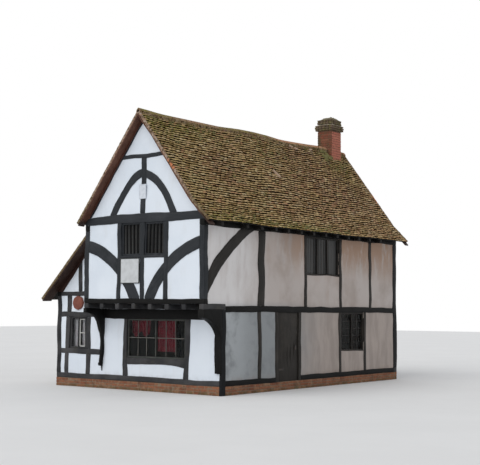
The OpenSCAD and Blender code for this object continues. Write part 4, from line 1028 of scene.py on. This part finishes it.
def rim(u0, u1, v0, v1, wide=0.045, near=0.03, far=0.12, foot=0.0, proud=0.0, butt=0.0):
    """Two uprights, a head between them and a foot, which may be taller and stand proud."""
    across = (u0 + butt, u1 - butt)
    return [(u0, u0 + wide, near, far, v0, v1), (u1 - wide, u1, near, far, v0, v1),
            (*across, near, far, v1 - wide, v1), (*across, near - proud, far, v0, v0 + wide + foot)]


def bars(u0, u1, v0, v1, near, far, half, parts, level=False):
    """Bars that part an opening into equal lights."""
    if level:
        return [(u0, u1, near, far, v - half, v + half) for v in np.linspace(v0, v1, parts + 1)[1:-1]]
    return [(u - half, u + half, near, far, v0, v1) for u in np.linspace(u0, u1, parts + 1)[1:-1]]


u0, u1, v0, v1 = FRONT_WINDOW
rims = rim(*FRONT_WINDOW, proud=0.012) + [(SPLIT - 0.02, SPLIT + 0.02, 0.034, 0.11, v0 + 0.04, v1 - 0.04)]
blocks("front_window_frame", rims, frame_paint, "front_window", 0.006, wander=True)
mullions = []
for p, q in ((u0 + 0.045, SPLIT - 0.02), (SPLIT + 0.02, u1 - 0.045)):
    mullions += bars(p, q, v0 + 0.005, v1 + 0.005, 0.052, 0.077, 0.009, 2, level=True)
    mullions += bars(p, q, v0 + 0.042, v1 - 0.042, 0.05, 0.075, 0.008, 3)
blocks("front_window_bars", mullions, bar_paint, "front_window", 0.005, wander=True)

rims, mullions, leads = [], [], []
v0, v1 = 3.33, TIE_Z
for middle in (-0.38, 0.38):
    u0, u1 = middle - 0.3125, middle + 0.3125
    rims += rim(u0, u1, v0, v1, 0.04)
    mullions += bars(u0 + 0.02, u1 - 0.02, v0 + 0.03, v1 - 0.03, 0.036, 0.076, 0.02, 5)
    leads += bars(u0 + 0.03, u1 - 0.03, 3.3125, 4.1375, 0.066, 0.074, 0.004, 6, level=True)
for part, boxes, mat, chamfer, wobble in (("leads", leads, iron, 0.002, 0), ("frames", rims, timber, 0.006, 0),
                                          ("mullions", mullions, dark_bars, 0.012, 0.002)):
    blocks("upper_window_" + part, in_wall(boxes, "front", FRONT), mat, "upper_window", chamfer, wobble, wander=True)

u0, u1 = (corner.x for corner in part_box("outshot_window"))
v0, v1, middle = 0.99, 1.81, (u0 + u1) / 2
rims = rim(u0, u1, v0, v1) + [(middle - 0.022, middle + 0.022, 0.03, 0.1, v0 + 0.04, v1 - 0.04)]
blocks("outshot_window_frame", rims, grey_timber, "outshot_window", 0.006, wander=True)
p, q = middle + 0.03, u1 - 0.05
sash = rim(p, q, v0 + 0.05, v1 - 0.05, 0.022, 0.04, 0.074, foot=0.003) + [(p, q, 0.044, 0.07, 1.385, 1.41)]
blocks("outshot_window_sash", sash, white_paint, "outshot_window")

for node, windows in (
    ("side_windows", (("right", HALF, SIDE_WINDOW, 3, 12), ("right", HALF, LOWER_WINDOW, 2, 8))),
    ("rear_windows", (("left", OUT_X, LEFT_WINDOW, 2, 6), ("rear", DEPTH, REAR_WINDOW, 4, 12))),
):
    rims, mullions, leads = [], [], []
    for wall, c, window, lights, columns in windows:
        u0, u1, v0, v1 = window
        rims += in_wall(rim(*window, proud=0.008), wall, c)
        mullions += in_wall(
            bars(u0 + 0.0225, u1 - 0.0225, v0 + 0.04, v1 - 0.04, 0.036, 0.075, 0.02, lights), wall, c)
        pane = (u0 + 0.045, u1 - 0.045, v0 + 0.045, v1 - 0.045, 0.073, 0.082, 0.004)
        leads += in_wall(bars(*pane, columns) + bars(*pane, 5, level=True), wall, c)
    for part, boxes, mat, chamfer in (("_frames", rims, side_timber, 0.006),
                                      ("_mullions", mullions, side_timber, 0.008), ("_leads", leads, iron, 0.002)):
        blocks(node[:-1] + part, boxes, mat, node, chamfer, wander=True)


# Curtains

def gathered(name, x0, x1, z0, z1, mat, folds, seed, swag=0.0):
    """A gathered curtain inside its CAD slab, with folds that deepen downwards and a lower edge in two swags."""
    us, vs = np.linspace(0, 1, folds * 10), np.linspace(0, 1, 26)
    verts = []
    for v in vs:
        for u in us:
            phase = 2 * pi * folds * u + 0.7 * sin(3 * u + seed) + 0.5 * v * sin(5 * u + 2 * seed)
            x = x0 + (x1 - x0) * (u + 0.012 * sin(phase * 0.5 + seed) * v)
            drop = (z1 - z0) * v * (1 - swag * (1 - abs(sin(2 * pi * u))))
            verts.append((min(max(x, x0), x1), 0.175 + (0.006 + 0.011 * v) * sin(phase), z1 - drop))
    o = array_piece(name, verts, grid_faces(len(us), len(vs), solid=False), mat, "curtains", 80)


gathered("red_valance", -1.1, -0.45, 1.33, 1.785, red_cloth, 9, 1.0, 0.4)
gathered("red_curtain", -0.28, 0.38, 0.98, 1.785, red_cloth, 8, 2.0)
gathered("pale_curtain_left", -3.19, -2.99, 0.99, 1.81, pale_cloth, 4, 3.0)
gathered("pale_curtain_right", -2.86, -2.69, 0.99, 1.81, pale_cloth, 3, 4.0)

# Door furniture on the side

c = HALF - 0.03
straps = [(c - 0.004, c + 0.004, 2.36, 2.98, z, z + 0.045) for z in (0.5, 1.65)]
straps.append((c - 0.002, c + 0.012, 3.05, 3.12, 1.0, 1.12))
blocks("door_straps", straps, iron, chamfer=0.002, slot="timber")
covers = [(c - 0.01, c - 0.0005, y - 0.014, y + 0.014, 0.23, 1.95) for y in 2.3 + 0.15 * np.arange(1, 6)]
blocks("door_cover_strips", covers, side_timber, wander=True, slot="timber")


# Fittings on the front

def bell_cover():
    """A crowned cover that faces -y, between a circle and an octagon."""
    low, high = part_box("bell_cover")
    cx, cz, radius, front, rise = (low.x + high.x) / 2, (low.z + high.z) / 2, 0.181, high.y - 0.088, 0.034
    sides, count, rings = 8, 96, 10
    outline = []
    for a in 2 * pi * np.arange(count) / count:
        poly = cos(pi / sides) / cos((a % (2 * pi / sides)) - pi / sides)
        outline.append((cos(a), sin(a), radius * (0.35 + 0.65 * poly)))
    # Each ring's y and its share of the outline, from the crown to the wall
    levels = [(front + rise * (k / rings) ** 2.6, max(k / rings, 0.02)) for k in range(rings + 1)]
    levels += [(front + rise + 0.012, 1.0), (high.y, 1.02)]
    verts = [(cx + r * share * x, y, cz + r * share * z) for y, share in levels for x, z, r in outline]
    last = (len(levels) - 1) * count
    faces = ring_faces(count, len(levels)) + [[*range(count)][::-1], [last + i for i in range(count)]]
    array_piece("bell_cover_shell", verts, faces, bell_paint, "bell_cover", 30)


bell_cover()
for node, part, inset, back, edge, face_paint, edge_paint, chamfer in (
    ("notice_board", "_frame", 0.012, 0.008, 0.018, board_paint, frame_paint, 0.002),
    ("date_plaque", "_rim", 0.01, 0.006, 0.014, plaque_paint, plaque_paint, 0.003),
):
    low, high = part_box(node)
    face = (low.x + inset, high.x - inset, low.y + back, high.y, low.z + inset, high.z - inset)
    blocks(node + "_face", [face], face_paint, node, chamfer)
    blocks(node + part, rim(low.x, high.x, low.z, high.z, edge, low.y, high.y, butt=edge), edge_paint, node,
           chamfer + 0.001)

# CAD nodes that stay, with their finishes
for node, mat in (("ground_floor", floor_brick), ("upper_floor", old_timber), ("curtain_rails", old_timber),
                  ("ground_window_glass", glass), ("upper_window_glass", opaque_shade_glass)):
    NODES[node].data.materials.clear()
    NODES[node].data.materials.append(mat)

# Camera at the photograph's place

right, up = Vector((0.79572, 0.60563, 0.00592)), Vector((0.04029, -0.06268, 0.99724))
ahead = Vector((-0.60432, 0.79328, 0.07428))
cam = bpy.data.cameras.new("camera")
cam.sensor_width = 36.0
cam.lens = 78.7
cam.clip_end = 300
camera = bpy.data.objects.new("camera", cam)
camera.matrix_world = Matrix((right, up, -ahead)).transposed().to_4x4()
camera.location = (17.25, -19.41, 2.0)
scene.collection.objects.link(camera)
scene.camera = camera

# Stage and light

me = bpy.data.meshes.new("floor")
me.from_pydata([(-80, -80, 0), (80, -80, 0), (80, 80, 0), (-80, 80, 0)], [], [(0, 1, 2, 3)])
me.materials.append(plain("pale_floor", (0.78, 0.78, 0.78), (0.8, 0.8, 0.8), 0.4, 0.9, 0.02))
ground = bpy.data.objects.new("floor", me)
scene.collection.objects.link(ground)

world = bpy.data.worlds.new("world")
scene.world = world
world.use_nodes = True
tree = world.node_tree
tree.nodes.clear()


def background(colour, strength):
    node = tree.nodes.new("ShaderNodeBackground")
    node.inputs["Color"].default_value = (*colour, 1.0)
    node.inputs["Strength"].default_value = strength
    return node.outputs[0]


path = tree.nodes.new("ShaderNodeLightPath")
fac = path.outputs["Is Camera Ray"]
for key in ("Is Glossy Ray", "Is Transmission Ray"):
    add = tree.nodes.new("ShaderNodeMath")
    add.operation = "MAXIMUM"
    tree.links.new(fac, add.inputs[0])
    tree.links.new(path.outputs[key], add.inputs[1])
    fac = add.outputs[0]
mixer = tree.nodes.new("ShaderNodeMixShader")
for i, socket in enumerate((fac, background((0.94, 0.965, 1.0), 0.62), background((1.0, 1.0, 1.0), 1.0))):
    tree.links.new(socket, mixer.inputs[i])
tree.links.new(mixer.outputs[0], tree.nodes.new("ShaderNodeOutputWorld").inputs["Surface"])

sun = bpy.data.lights.new("soft_sun", "SUN")
sun.energy = 1.3
sun.angle = radians(60)
sun.color = (1.0, 0.98, 0.95)
lamp = bpy.data.objects.new("soft_sun", sun)
lamp.rotation_euler = Vector((-0.12, -0.78, 0.62)).to_track_quat("Z", "Y").to_euler()
scene.collection.objects.link(lamp)

scene.view_settings.view_transform = "Standard"
